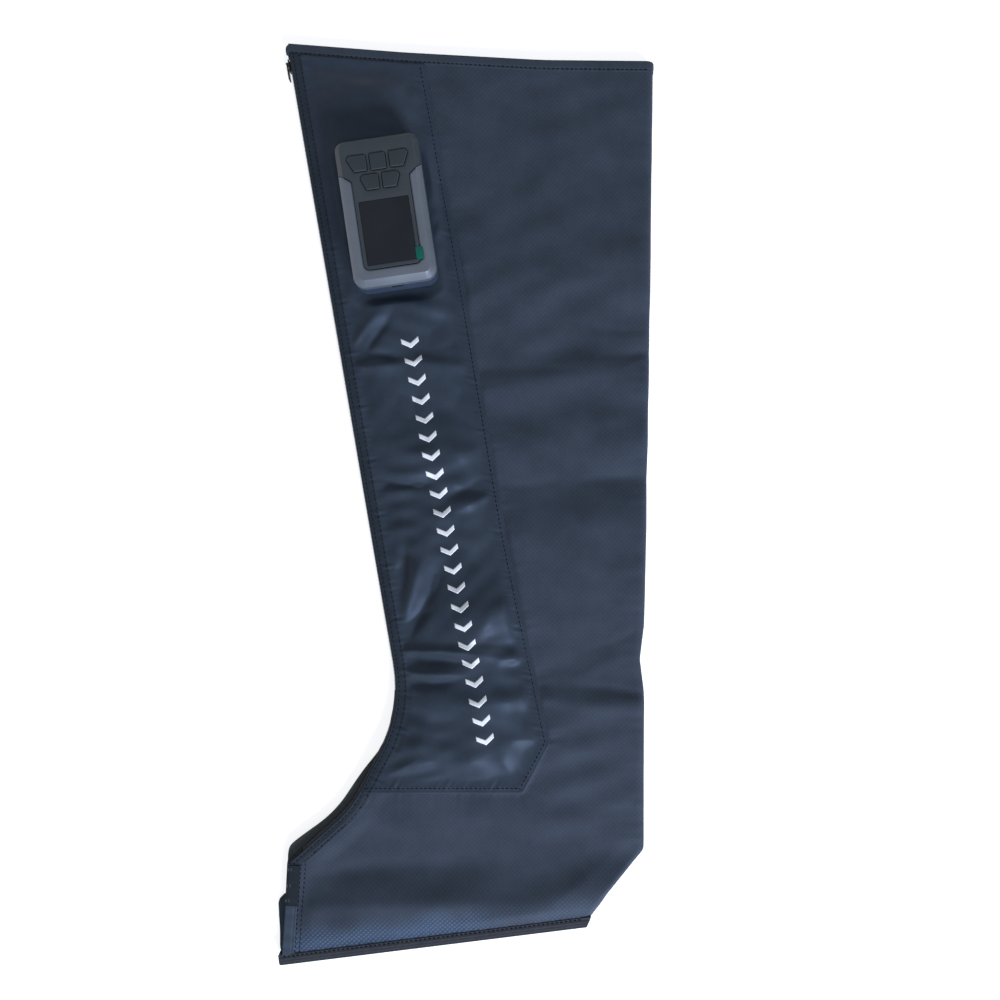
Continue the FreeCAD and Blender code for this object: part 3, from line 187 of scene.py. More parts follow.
front_line = rounded(FRONT_CORNERS)
calf_line = rounded(CALF_CORNERS)
mouth_line = rounded(MOUTH_CORNERS)
sole_line = rounded(SOLE_CORNERS)
front_slope = np.gradient(front_line[:, 0]) / np.gradient(front_line[:, 1])


def left_x(y):
    return np.interp(-y, -front_line[:, 1], front_line[:, 0])


def left_lean(y):
    """Width across x of one millimetre square to the front edge."""
    return np.sqrt(1 + np.interp(-y, -front_line[:, 1], front_slope) ** 2)


def right_x(y):
    return np.interp(y, calf_line[:, 1], calf_line[:, 0])


def fold_x(y):
    return right_x(y) - FOLD_REACH


def sole_y(x):
    return np.interp(x, sole_line[:, 0], sole_line[:, 1])


def mouth_y(x):
    return np.interp(x, mouth_line[:, 0], mouth_line[:, 1])


def smooth(value):
    value = np.clip(value, 0, 1)
    return value * value * (3 - 2 * value)


def nearest(line, x, y):
    """Distance from each x, y to a line, and how far along the line its nearest point is."""
    best, place = np.full(np.shape(x), 1e9), np.zeros(np.shape(x))
    coarse = even(line, 8.0)
    for start, end, before in zip(coarse[:-1], coarse[1:], lengths(coarse)):
        d = end - start
        k = np.clip(((x - start[0]) * d[0] + (y - start[1]) * d[1]) / (d @ d), 0, 1)
        gap = np.hypot(x - start[0] - k * d[0], y - start[1] - k * d[1])
        closer = gap < best
        best = np.where(closer, gap, best)
        place = np.where(closer, before + k * math.sqrt(d @ d), place)
    return best, place


def ripple(along, seed, wave):
    """Uneven waves: a few sines whose length wanders about the given one."""
    chance = np.random.default_rng(seed)
    total = np.zeros(np.shape(along))
    for share in np.linspace(0.6, 1.9, 9):
        turn = chance.uniform(0, 2 * math.pi)
        total += chance.uniform(0.4, 1.0) * np.sin(along * 2 * math.pi * share / wave + turn)
    return total / 3


def folds(x, y, listed):
    """Height of soft folds: middle x, y, half length, half width, turn in degrees, height. Each
    bends a little and narrows towards one end."""
    chance = np.random.default_rng(2)
    total = np.zeros(np.shape(x))
    for cx, cy, long, wide, turn, high in listed:
        bend, taper = chance.uniform(-0.22, 0.22) * long / wide, chance.uniform(-0.45, 0.45)
        c, s = math.cos(math.radians(turn)), math.sin(math.radians(turn))
        u = ((x - cx) * c + (y - cy) * s) / long
        v = ((y - cy) * c - (x - cx) * s) / wide
        v = (v - np.clip(bend, -0.9, 0.9) * u * u) / (1 + taper * np.clip(u, -1, 1))
        total += high * np.exp(-u ** 4 - np.abs(v) ** 1.7)
    return total


def crumple(x, y, seed, wave, spread):
    """Short crossing creases: waves at scattered angles, each coming and going in patches."""
    chance = np.random.default_rng(seed)
    total = np.zeros(np.shape(x))
    for _ in range(12):
        angle = math.radians(chance.uniform(-spread, spread))
        turn = chance.uniform(0, 2 * math.pi, 4)
        length = wave * chance.uniform(0.6, 1.6)
        drift = 1.1 * np.sin(x / (1.7 * wave) + turn[0]) + 0.7 * np.sin(y / (2.9 * wave) + turn[1])
        across = (y * math.cos(angle) - x * math.sin(angle)) * 2 * math.pi / length + drift
        patch = np.sin(x / (wave * chance.uniform(0.9, 2.2)) + turn[2])
        patch = patch * np.sin(y / (wave * chance.uniform(1.2, 3.0)) + turn[3])
        total += np.maximum(patch, 0) * np.sin(across)
    return total / 2


def columns(left_band, count, right_band):
    """Column places: fixed distances in from both edges, evenly spread ones between them."""
    share = np.linspace(0, 1, count + 2)[1:-1]
    between = left_band[-1] * (1 - share) - right_band[-1] * share
    share = np.concatenate([np.zeros(len(left_band)), share, np.ones(len(right_band))])
    return share, np.concatenate([left_band, between, -np.array(right_band[::-1])])


GRID_GUESS = (-400.0, 410.0)  # where a grid's ends start before they settle on the edges


def leg_grid(rows, place, low, high, right=fold_x):
    """x and y of a grid over the flat leg, between two lines across it, edge to edge."""
    share, shift = place
    t = np.linspace(0, 1, rows)[:, None]
    y = np.repeat(GRID_GUESS[0] * (1 - t) + GRID_GUESS[1] * t, len(share), 1)
    for _ in range(8):
        lean = left_lean(y) * (1 - share) + share
        x = left_x(y) * (1 - share) + right(y) * share + shift * lean
        y = low(x) * (1 - t) + high(x) * t
    return x, y


def apply_modifiers(obj):
    shaped = obj.evaluated_get(bpy.context.evaluated_depsgraph_get())
    result = bpy.data.meshes.new_from_object(shaped)
    obj.modifiers.clear()
    obj.data = result
    result.name = obj.name


def slab(name, grid, flat, thickness, keep=None):
    """Cloth of one thickness under a grid of points, with its unrolled place as UV map."""
    rows, count = grid.shape[:2]
    at = np.arange(rows * count).reshape(rows, count)
    quads = np.stack([at[:-1, :-1], at[:-1, 1:], at[1:, 1:], at[1:, :-1]], -1).reshape(-1, 4)
    if keep is not None:
        quads = quads[keep.reshape(-1)]
    mesh = bpy.data.meshes.new(name)
    mesh.from_pydata((grid.reshape(-1, 3) * MM).tolist(), [], quads.tolist())
    layer = mesh.uv_layers.new(name="cloth")
    layer.data.foreach_set("uv", flat.reshape(-1, 2)[quads.ravel()].ravel())
    mesh.shade_smooth()
    obj = link_object(name, mesh)
    wall = obj.modifiers.new("thickness", "SOLIDIFY")
    wall.thickness = thickness * MM
    wall.offset = -1.0
    apply_modifiers(obj)
    return obj


# The leg has lain folded in six across its length, which leaves broad low swells: place along y
# and height of each crest and hollow. Creases run from the calf edge and under the foot.
SOLE_CUT = 1.4           # how far inside its binding the cloth is cut off
SWELLS = [(-430, 0.0), (-410, -1.8), (-366, 3.4), (-320, -2.4), (-275, -1.6), (-250, -1.4),
          (-192, 1.2), (-160, -2.0), (-26, 3.2), (21, -2.6), (57, 1.9), (86, -1.6), (116, 1.5),
          (137, -1.5), (162, -1.4), (200, 3.0), (290, -0.2), (330, 0.6), (400, 0.0)]
LEG_FOLDS = [
    (138, -142, 38, 6, 20, 0.7), (134, -128, 36, 6, 21, -0.9), (112, -183, 62, 7, -3, 1.3),
    (112, -168, 60, 6, -3, -1.4), (118, 147, 60, 7, 2, -0.8), (150, 20, 34, 8, -5, -0.9),
    (128, 345, 55, 9, -58, -0.9), (60, 262, 44, 10, 74, 0.8), (150, 250, 40, 8, 82, -0.6),
    (96, 205, 50, 7, 12, 0.7), (150, 82, 34, 9, 6, 1.0), (60, 52, 30, 8, -20, -0.6),
    (-60, -334, 84, 11, 2, -1.6), (-40, -366, 110, 11, 1, 2.2), (-120, -300, 30, 9, 30, 0.6),
    (100, -300, 60, 12, -12, -0.4), (120, -335, 46, 9, 40, 1.0), (60, -232, 70, 9, -6, -0.4),
    (20, -290, 50, 10, -8, 0.7), (145, -280, 26, 8, 20, -0.7), (140, -60, 40, 9, 6, 0.7),
    (142, 161, 36, 4.5, -1, -0.9), (148, 139, 30, 4.2, 5, -0.9), (70, 125, 40, 4.5, 0, -0.7),
    (134, 25, 42, 4.5, 4, -1.0), (60, 18, 34, 5, 7, -0.7), (156, 131, 16, 4, 24, 0.7),
]
PANEL_SEAM = [(-37.7, 404.5, 0), (-1.0, 200.0, 600), (38.0, -31.0, 600), (77.3, -219.0, 2),
              (52.4, -265.0, 2), (-97.0, -265.0, 0)]
PANEL_BOTTOM = -265.0
seam_line = rounded(PANEL_SEAM)


def seam_x(y):
    """The cover panel's back edge."""
    back = [corner[:2] for corner in PANEL_SEAM[:-1]]
    return np.interp(-y, [-corner[1] for corner in back], [corner[0] for corner in back])


def turned_edge(gap):
    """Extra height of a turned and twin-stitched edge, with a dent along each row."""
    rise = 0.5 * (1 - smooth((gap - HEM_BAND) / 1.4))
    for row in STITCH_ROWS:
        rise = rise - 0.5 * np.exp(-((gap - row) / 0.8) ** 2)
    return rise


def swells(y):
    """Height of the broad swells, rounded from one crest or hollow to the next."""
    places, heights = np.array(SWELLS).T
    after = np.clip(np.searchsorted(places, y), 1, len(places) - 1)
    share = smooth((y - places[after - 1]) / (places[after] - places[after - 1]))
    return heights[after - 1] * (1 - share) + heights[after] * share


def leg_top(x, y):
    """Height of the outer cloth's face on the near side."""
    to_front, at_front = nearest(front_line, x, y)
    to_calf, at_calf = nearest(calf_line, x, y)
    to_seam, at_seam = nearest(seam_line, x, y)
    sole, mouth = sole_y(x), mouth_y(x)
    open_cloth = 1 - smooth((seam_x(y) - x) / 8 + 0.5) * smooth((y - PANEL_BOTTOM) / 8 + 0.5)
    calm = smooth((to_front - HEM_BAND) / 18) * smooth((y - sole - 9) / 12)
    calm *= smooth((mouth - y - 10) / 18) * open_cloth
    relief = folds(x, y, LEG_FOLDS) + swells(y - 0.06 * (x - 90) + 5 * ripple(x, 11, 190))
    relief += 0.8 * crumple(x, y, 3, 36, 35) + 0.3 * ripple(y + 0.2 * x, 4, 60)
    pucker = 0.55 * ripple(at_seam, 5, 9) * np.exp(-to_seam / 8) * open_cloth
    pucker += 0.30 * ripple(at_calf, 6, 17) * np.exp(-to_calf / 12)
    pucker += 0.22 * ripple(x, 7, 9) * np.exp(-np.abs(mouth - 11 - y) / 8)
    pucker += 0.20 * ripple(x, 8, 10) * np.exp(-np.abs(y - sole - 11) / 8)
    pucker += 0.22 * ripple(at_front, 9, 9) * np.exp(-((to_front - 9) / 8) ** 2) * open_cloth
    return SLEEVE_TOP + relief * calm + pucker + turned_edge(to_front) * open_cloth


def leg_bottom(x, y):
    return 0.3 + 0.25 * smooth((right_x(y) - x) / 30) * (1 + ripple(y, 10, 60))


ROLL_STEPS = 8           # rows of points round the calf fold
UNDER_COLUMNS = 24       # columns of points over the far side


def wrapped(rows, place, low, high, depth):
    """Points of a layer at a depth under the face, from the front edge over the near side, round
    the calf fold and back under the far side, and the place of each on the unrolled cloth."""
    x, y = leg_grid(rows, place, low, high)
    near = np.stack([x, y, leg_top(x, y) - depth], -1)
    share = np.linspace(1, 0, UNDER_COLUMNS)
    x, y = leg_grid(rows, (share, place[1][0] * (1 - share)), low, high)
    far = np.stack([x, y, leg_bottom(x, y) + depth], -1)
    rim, heel = near[:, -1:], far[:, :1]
    angle = np.linspace(math.pi / 2, -math.pi / 2, ROLL_STEPS + 2)[None, 1:-1, None]
    middle = (rim + heel) / 2
    out = np.array([FOLD_REACH - depth, 0, 0])
    up = (rim - heel) / 2
    grid = np.concatenate([near, middle + out * np.cos(angle) + up * np.sin(angle), far], 1)
    steps = np.linalg.norm(np.diff(grid, axis=1), axis=2)
    run = np.concatenate([np.zeros((rows, 1)), np.cumsum(steps, 1)], 1)
    return grid, np.stack([run + grid[:, :1, 0], grid[:, :, 1]], -1)


CLIP_X = -170.5
CLIP_RUN = 4
CLIP_RISE = 2.6


def cut_line(x):
    """Lower edge of the cloth, with its toe corner clipped to go inside the binding's end."""
    return sole_y(x) + SOLE_CUT + CLIP_RISE * np.clip(1 - (x - CLIP_X) / CLIP_RUN, 0, 1)


EDGE_BAND = [0.0, 1.4, 2.8, 4.2, 5.7, 7.1, 8.5, 9.4, 10.8]
grid, flat = wrapped(292, columns(EDGE_BAND, 112, [0.0]), cut_line, mouth_y, 0.0)
outer_cloth = slab("outer_cloth", grid, flat, CLOTH)
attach(outer_cloth, "sleeve")
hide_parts("outer_fabric_near", "outer_fabric_far", "calf_fold")


def surface(name):
    """A new material with an empty tree and its own output."""
    material = bpy.data.materials.new(name)
    material.use_nodes = True
    material.node_tree.nodes.clear()
    return material, material.node_tree


def threads(tree, place, pitch, turn):
    """Height, 0 to 1, of parallel threads a pitch apart, at an angle across the cloth."""
    turned = add(tree, "ShaderNodeVectorRotate", {"Vector": place, "Angle": math.radians(turn)})
    return add(tree, "ShaderNodeTexWave", {"Vector": turned.outputs[0], "Scale": 0.314 / pitch,
                                           "Distortion": 0.25, "Detail": 1.0})


def woven(name, dark, light, cell, depth, roughness, blotch, contrast=0.22):
    """Laminated ripstop: raised threads in small diamonds over a plain weave, with the faint
    bluish sheen of the coating and uneven patches where it has been creased and handled.
    Two attributes paint light into it: a painted sheen near the sole seam, and a painted shade
    along the turned front hem."""
    material, tree = surface(name)
    place = add(tree, "ShaderNodeUVMap", uv_map="cloth").outputs[0]
    one = threads(tree, place, cell, 45)
    other = threads(tree, place, cell, -45)
    weft = threads(tree, place, 0.7, 0)
    cross = add(tree, "ShaderNodeMath", {0: one.outputs["Fac"], 1: other.outputs["Fac"]},
                operation="MULTIPLY")
    knots = add(tree, "ShaderNodeMath", {0: cross.outputs[0], 1: 0.75}, operation="POWER")
    painted_sole_sheen = add(tree, "ShaderNodeAttribute", attribute_name="painted_sole_sheen").outputs["Fac"]
    share = add(tree, "ShaderNodeMath", {0: painted_sole_sheen, 1: 1.35, 2: 0.2}, operation="MULTIPLY_ADD")
    ribs = add(tree, "ShaderNodeMath", {0: knots.outputs[0], 1: share.outputs[0]},
               operation="MULTIPLY")
    patch = add(tree, "ShaderNodeTexNoise", {"Vector": place, "Scale": 0.022, "Detail": 4.0,
                                             "Roughness": 0.6})
    fine = add(tree, "ShaderNodeTexNoise", {"Vector": place, "Scale": 0.4, "Detail": 3.0})
    shade = add(tree, "ShaderNodeMath", {0: patch.outputs["Fac"], 1: blotch}, operation="MULTIPLY")
    mixed = add(tree, "ShaderNodeMath", {0: ribs.outputs[0], 1: contrast, 2: shade.outputs[0]},
                operation="MULTIPLY_ADD")
    speck = add(tree, "ShaderNodeMath", {0: fine.outputs["Fac"], 1: 0.16, 2: mixed.outputs[0]},
                operation="MULTIPLY_ADD")
    # Painted sheen: near the sole seam the light tone turns bluer and the diamonds stronger, where the
    # lamp's light grazes the cloth.
    painted_sheen_tone = add(tree, "ShaderNodeMix", {0: painted_sole_sheen, 6: colour(light), 7: colour("#52637b")},
                 data_type="RGBA")
    plain = add(tree, "ShaderNodeMix", {0: speck.outputs[0], 6: colour(dark), 7: painted_sheen_tone.outputs[2]},
                data_type="RGBA", clamp_factor=True)
    # Painted shade: the cloth along the turned front hem is multiplied darker by an attribute.
    doubled = add(tree, "ShaderNodeAttribute", attribute_name="doubled").outputs["Fac"]
    tone = add(tree, "ShaderNodeMix", {0: doubled, 6: plain.outputs[2], 7: colour("#b8b8b0")},
               data_type="RGBA", blend_type="MULTIPLY")
    grain = add(tree, "ShaderNodeMath", {0: weft.outputs["Fac"], 1: 0.18, 2: ribs.outputs[0]},
                operation="MULTIPLY_ADD")
    dull = add(tree, "ShaderNodeMath", {0: patch.outputs["Fac"], 1: 0.16, 2: roughness - 0.08},
               operation="MULTIPLY_ADD")
    bump = add(tree, "ShaderNodeBump", {"Height": grain.outputs[0], "Strength": 0.7,
                                        "Distance": depth * MM})
    cloth = add(tree, "ShaderNodeBsdfPrincipled", {
        "Base Color": tone.outputs[2], "Roughness": dull.outputs[0], "Normal": bump.outputs[0],
        "Sheen Weight": 0.12, "Sheen Roughness": 0.4, "Sheen Tint": colour("#8ea6cc"),
        "Specular IOR Level": 0.2, "Specular Tint": colour("#b4c8f0")})
    add(tree, "ShaderNodeOutputMaterial", {"Surface": cloth.outputs[0]})
    return material


leg_front = rounded(FRONT_CORNERS[:4])


def mark_cloth(obj, width):
    """Painted light on the cloth, kept in two attributes: a painted shade, darker, along the front
    edge, where the cloth is turned under, stiffer and flatter, and lets less light through; and a
    painted sheen near the sole seam, where the lamp grazes the cloth: bluer, lighter, stronger diamonds."""
    mesh = obj.data
    points = np.empty(len(mesh.vertices) * 3, np.float32)
    mesh.vertices.foreach_get("co", points)
    points = points.reshape(-1, 3) / MM
    gap = nearest(leg_front, points[:, 0], points[:, 1])[0]
    layer = mesh.attributes.new("doubled", "FLOAT", "POINT")
    layer.data.foreach_set("value", 0.7 - 0.7 * smooth((gap - width) / 4 + 0.5))
    rise = points[:, 1] - sole_y(points[:, 0]) - 16 - 5 * ripple(points[:, 0], 33, 60)
    layer = mesh.attributes.new("painted_sole_sheen", "FLOAT", "POINT")
    share = (1 - smooth(rise / 24)) * (1 - 0.75 * smooth((points[:, 0] + 15) / 60))
    layer.data.foreach_set("value", share.astype(np.float32))


# Diamond ripstop with a coated sheen: the eye reads slate blue cloth with a fine grid in it.
ripstop_nylon = woven("ripstop_nylon", "#252a30", "#4d5663", 3.13, 0.26, 0.58, 0.76, 0.7)
outer_cloth.data.materials.append(ripstop_nylon)
# Painted shade along the front hem, and a painted sheen near the sole seam.
mark_cloth(outer_cloth, HEM_BAND - 1.0)


# ---------------------------------------------------------------- sleeve: layers inside
# Lining and three flat TPU bladders, each wrapped round the leg like the outer cloth. They show
# at the thigh mouth and at the open toe.
def speckled(name, dark, light, scale, detail, roughness, shine=0.5, relief=None):
    """A finish mottled by one fine grain, and its relief too: strength, and depth in metres."""
    material, tree = surface(name)
    spot = add(tree, "ShaderNodeTexCoord").outputs["Object"]
    grain = add(tree, "ShaderNodeTexNoise", {"Vector": spot, "Scale": scale, "Detail": detail})
    tone = add(tree, "ShaderNodeMix", {0: grain.outputs["Fac"], 6: colour(dark), 7: colour(light)},
               data_type="RGBA")
    skin = add(tree, "ShaderNodeBsdfPrincipled", {
        "Base Color": tone.outputs[2], "Roughness": roughness, "Specular IOR Level": shine})
    if relief:
        bump = add(tree, "ShaderNodeBump", {"Height": grain.outputs["Fac"], "Strength": relief[0],
                                            "Distance": relief[1]})
        tree.links.new(bump.outputs[0], skin.inputs["Normal"])
    add(tree, "ShaderNodeOutputMaterial", {"Surface": skin.outputs[0]})
    return material


# Milky, slightly glossy welded film: the eye reads a soft plastic with a fine grain.
welded_film = speckled("welded_film", "#8f959b", "#b3b8bc", 180.0, 3.0, 0.32,
                       relief=(0.3, 0.0003))

UPPER_SEAM_Y = 133.0
LOWER_SEAM_Y = -143.0
SEAM_GAP = 3.0
WELD_MARGIN = 12.0       # from the zipper edge to the bladder's weld
lining_inset = columns([4.0, 9.0], 84, [0.0])
bladder_inset = columns([WELD_MARGIN, 15.0, 20.0], 80, [0.0])


def level(height):
    return lambda x: np.full(np.shape(x), height)


def over_sole(x):
    return sole_y(x) + WELD_MARGIN


def across_mouth(x):
    """Inner edge of the thigh hem."""
    return mouth_y(x) - MOUTH_HEM


def under_mouth(x):
    return across_mouth(x) - 3


for name, low, high in (
        ("thigh_bladder", level(UPPER_SEAM_Y + SEAM_GAP), under_mouth),
        ("calf_bladder", level(LOWER_SEAM_Y + SEAM_GAP), level(UPPER_SEAM_Y - SEAM_GAP)),
        ("foot_bladder", over_sole, level(LOWER_SEAM_Y - SEAM_GAP))):
    grid, flat = wrapped(90, bladder_inset, low, high, CLOTH + 0.05)
    piece = slab(name + "_film", grid, flat, BLADDER - 0.1)
    piece.data.materials.append(welded_film)
    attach(piece, "sleeve")
    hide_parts(name)

# Plain black knit: dull, with fine ribs.
lining_knit = woven("lining_knit", "#15181c", "#2b3037", 1.6, 0.2, 0.75, 0.5)
grid, flat = wrapped(220, lining_inset, lambda x: sole_y(x) + SOLE_BAND, across_mouth,
                     CLOTH + BLADDER)
inner_layers = slab("inner_layers", grid, flat, LINING)
inner_layers.data.materials.append(lining_knit)
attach(inner_layers, "sleeve")
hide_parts("inner_lining")


# ---------------------------------------------------------------- sleeve: hose cover panel
# Smoother, limper cloth over the three hoses, turned under and stitched down all round. It is
# wider than the room that it has, so it lies in loose creases from stitch line to stitch line.
PANEL_CLOTH = 0.6
PANEL_CREST = 15.7       # just under the dock plate's flange
PANEL_LOFT = 2.0         # how far the loose cloth stands off the hoses
SEAM_STITCH = 4.6        # the single row along its back seam, from the edge
STITCH_PITCH = 4.2
PUMP_PLACE = (-69.5, 259.8)
PUMP_TURN = math.radians(8.4)
PUMP_HALF = (37.0, 65.0)
DOCK_HOLE = (-28.5, -48.5, 28.5, 22.5)
HOSE_ROUTES = [
    [(-55.9, 212.5), (-43.4, 188.6), (-38.0, 168.0), (-25.0, 150.0)],
    [(-62.9, 214.3), (-56.6, 172.7), (-46.0, 124.0), (-38.0, 84.0), (-26.0, 46.0)],
    [(-74.6, 212.5), (-67.9, 166.9), (-60.0, 112.0), (-48.5, 56.0), (-39.0, 0.0), (-27.0, -55.0),
     (-17.0, -110.0), (-2.0, -163.0), (8.0, -192.0)]]
PANEL_FOLDS = [
    (-12, 335, 56, 8, 82, 1.8), (-38, 345, 40, 9, 82, -1.2), (-85, 370, 60, 14, 4, 1.6),
    (-50, 390, 40, 10, 60, -1.0), (-140, 330, 60, 12, -80, 1.0), (-27, 282, 70, 8, -79, 2.2),
    (-24, 308, 34, 24, 4, 4.4), (-24, 300, 18, 5, 40, 1.0), (-20, 258, 20, 5, 55, 1.2),
    (-12, 236, 22, 6, 70, -1.4),
    (-52, 180, 38, 13, -5, 1.6), (-106, 190, 16, 7, 40, 1.4), (-92, 161, 20, 4, 50, 1.5),
    (-80, 157, 22, 4, 55, -1.5), (-27, 152, 24, 14, 80, -1.7), (-84, 137, 28, 4, 3, -2.0),
    (-84, 126, 28, 5, 0, 1.8), (-18, 128, 36, 8, -3, 1.9), (-82, 86, 28, 8, -78, 1.0),
    (-24, 88, 52, 14, 2, -2.2), (-20, 46, 52, 12, 3, 2.2), (-62, 29, 26, 7, -6, 1.2),
    (-66, 19, 30, 4.5, -4, -2.2), (16, 6, 32, 5, 25, 2.0), (10, 17, 36, 5, 18, -1.8),
    (-44, -34, 40, 12, 40, 1.4), (-58, -62, 30, 5.5, 75, -3.0), (-48, -73, 30, 6, 72, 2.4),
    (-37, -90, 30, 5.5, 62, -2.6), (-54, -116, 26, 5, 45, -2.2), (28, -84, 46, 15, 62, 1.8),
    (30, -99, 48, 21, 9, 4.4), (34, -128, 40, 4, -8, -0.5),
    (-38, -133, 42, 4, 2, 2.0), (-36, -143, 42, 4, 0, -1.8), (-38, -154, 36, 4, 0, 1.8),
    (-36, -164, 32, 4, 3, -1.4), (32, -139, 42, 8, -6, 2.0), (0, -181, 74, 12, 0, 2.2),
    (8, -216, 34, 19, 80, 2.2), (46, -214, 18, 7, 8, 0.5), (-60, -212, 36, 12, -50, 1.4),
]


def pump_plan(x, y):
    """x and y in the controller's own plan."""
    c, s = math.cos(PUMP_TURN), math.sin(PUMP_TURN)
    x, y = x - PUMP_PLACE[0], y - PUMP_PLACE[1]
    return x * c + y * s, y * c - x * s


def past_pump(x, y):
    """Distance outside the controller's plan."""
    u, v = pump_plan(x, y)
    return np.hypot(np.maximum(np.abs(u) - PUMP_HALF[0], 0), np.maximum(np.abs(v) - PUMP_HALF[1], 0))


def panel_top(x, y):
    """Height of the cover panel's face."""
    to_front, at_front = nearest(front_line, x, y)
    to_seam, at_seam = nearest(seam_line, x, y)
    to_mouth = across_mouth(x) - y
    gap = np.minimum(np.minimum(to_front, to_seam), to_mouth + 4)
    away = smooth(past_pump(x, y) / 13)
    lie = SLEEVE_TOP + PANEL_CLOTH + turned_edge(gap)
    crest = PANEL_CREST - 0.9 * (1 - smooth((gap - 14) / 26))
    crest = crest + PANEL_LOFT * away * smooth((gap - 10) / 32)
    loose = 1.85 * folds(x, y, PANEL_FOLDS) + 0.9 * crumple(x, y, 21, 24, 50)
    height = lie + (crest - lie) * smooth((gap - 8.5) / (9 + 15 * away))
    for row, at, to_row in ((STITCH_ROWS[0], at_front, to_front), (STITCH_ROWS[1], at_front, to_front),
                            (SEAM_STITCH, at_seam, to_seam)):
        drawn = np.exp(-((to_row - row) / 1.5) ** 2) * np.cos(2 * math.pi * at / STITCH_PITCH)
        height = height + 0.22 * drawn
    height += loose * smooth(past_pump(x, y) / 8) * smooth((gap - 6) / 11)
    floor = SLEEVE_TOP + PANEL_CLOTH + 0.3
    height = floor + (height - floor + np.hypot(height - floor, 0.8)) / 2
    for route in HOSE_ROUTES:
        off = nearest(np.array(route), x, y)[0]
        over = PANEL_CREST + 0.05 - 0.08 * np.maximum(off - 1.5, 0) ** 1.5
        height = np.where(off < 12, np.maximum(height, over), height)
    height = height * away + np.minimum(height, PANEL_CREST) * (1 - away)
    drawn = 0.55 * ripple(at_seam + 0.5 * to_seam, 23, 7.5) * (0.6 + 0.6 * ripple(at_seam, 31, 26))
    puck = drawn * np.exp(-((to_seam - 7.5) / 4.5) ** 2)
    puck += 0.45 * ripple(at_front, 24, 8) * np.exp(-((to_front - 10) / 6) ** 2)
    puck += 0.25 * ripple(x, 25, 9) * np.exp(-((to_mouth - 8) / 6) ** 2)
    return height + puck * away


place = columns(EDGE_BAND + [12.5, 14.5], 62, [0.0, 1.2, 3.0, 4.6, 6.2, 7.8, 9.4, 11.4, 13.4])
x, y = leg_grid(500, place, level(PANEL_BOTTOM), across_mouth, seam_x)
grid = np.stack([x, y, panel_top(x, y)], -1)
middle_x = (x[:-1, :-1] + x[1:, 1:]) / 2
middle_y = (y[:-1, :-1] + y[1:, 1:]) / 2
u, v = pump_plan(middle_x, middle_y)
over_dock = (u > DOCK_HOLE[0]) & (u < DOCK_HOLE[2]) & (v > DOCK_HOLE[1]) & (v < DOCK_HOLE[3])
cover_cloth = slab("cover_cloth", grid, grid[:, :, :2], PANEL_CLOTH, ~over_dock)

# Satin-faced polyester: finer weave, a little darker and glossier than the ripstop.
satin_polyester = woven("satin_polyester", "#1f252c", "#414b57", 1.3, 0.12, 0.46, 0.9, 0.5)
cover_cloth.data.materials.append(satin_polyester)
# Painted shade along the front hem.
mark_cloth(cover_cloth, HEM_BAND)
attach(cover_cloth, "sleeve")
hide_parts("hose_cover_panel")


# ---------------------------------------------------------------- sleeve: hems and binding
# The thigh mouth and the open toe are turned back as thick flat hems of the outer cloth; the sole
# seam is bound with a strip of ribbed black webbing folded over all layers.
def unit(vectors):
    return vectors / np.linalg.norm(vectors, axis=-1, keepdims=True)


def raised(line, z):
    """A flat line's points, or directions, with a height."""
    return np.column_stack([line, np.broadcast_to(np.ravel(z), len(line))])


def square_to(line):
    """Direction square to a flat line, on its right, at each of its points."""
    d = unit(np.gradient(line, axis=0))
    return raised(np.stack([d[:, 1], -d[:, 0]], 1), 0.0)


UP = np.array([[0.0, 0.0, 1.0]])


def band(name, origin, out, up, profile):
    """Closed profile, in distances outwards and upwards, carried along a line of stations."""
    profile = np.broadcast_to(profile, (len(origin),) + np.shape(profile)[-2:])
    points = origin[:, None] + profile[:, :, :1] * out[:, None] + profile[:, :, 1:] * up[:, None]
    n, m = points.shape[:2]
    at = np.arange(n * m).reshape(n, m)
    after = np.roll(at, -1, 1)
    quads = np.stack([at[:-1], after[:-1], after[1:], at[1:]], -1).reshape(-1, 4)
    along = lengths(origin)[:, None].repeat(m, 1)
    across = lengths(np.concatenate([profile[0], profile[0][:1]]))
    u = np.stack([along, np.broadcast_to(across[:m], (n, m))], -1).reshape(-1, 2)
    mesh = bpy.data.meshes.new(name)
    faces = quads.tolist() + [at[0].tolist()[::-1], at[-1].tolist()]
    mesh.from_pydata((points.reshape(-1, 3) * MM).tolist(), [], faces)
    layer = mesh.uv_layers.new(name="cloth")
    loops = np.concatenate([np.array(face) for face in faces])
    layer.data.foreach_set("uv", u[loops].ravel())
    mesh.shade_smooth()
    mesh.set_sharp_from_angle(angle=math.radians(50))
    return link_object(name, mesh)


LAYERS = CLOTH + BLADDER + LINING
HEM_STITCH = 2.2         # the single row of each hem, from its inner edge
HEM_ROUND = 1.2


def hem_profile(width, swell):
    """Flat folded hem, seen from its end: round at the fold, dented along its stitch row."""
    inwards = np.linspace(-width, -HEM_ROUND, 24)
    row = -width + HEM_STITCH
    face = swell * (1 - smooth((-inwards - width + 1.2) / 1.2)) - 0.35 * np.exp(-(inwards - row) ** 2)
    top = np.stack([inwards, face], 1)
    turn = np.linspace(math.pi / 2, -math.pi / 2, 9)[1:-1]
    half = (LAYERS + swell) / 2
    nose = np.stack([-HEM_ROUND + HEM_ROUND * np.cos(turn), swell - half + half * np.sin(turn)], 1)
    under = np.array([[-HEM_ROUND, -LAYERS], [-width, -LAYERS]])
    return np.concatenate([top, nose, under])[::-1]


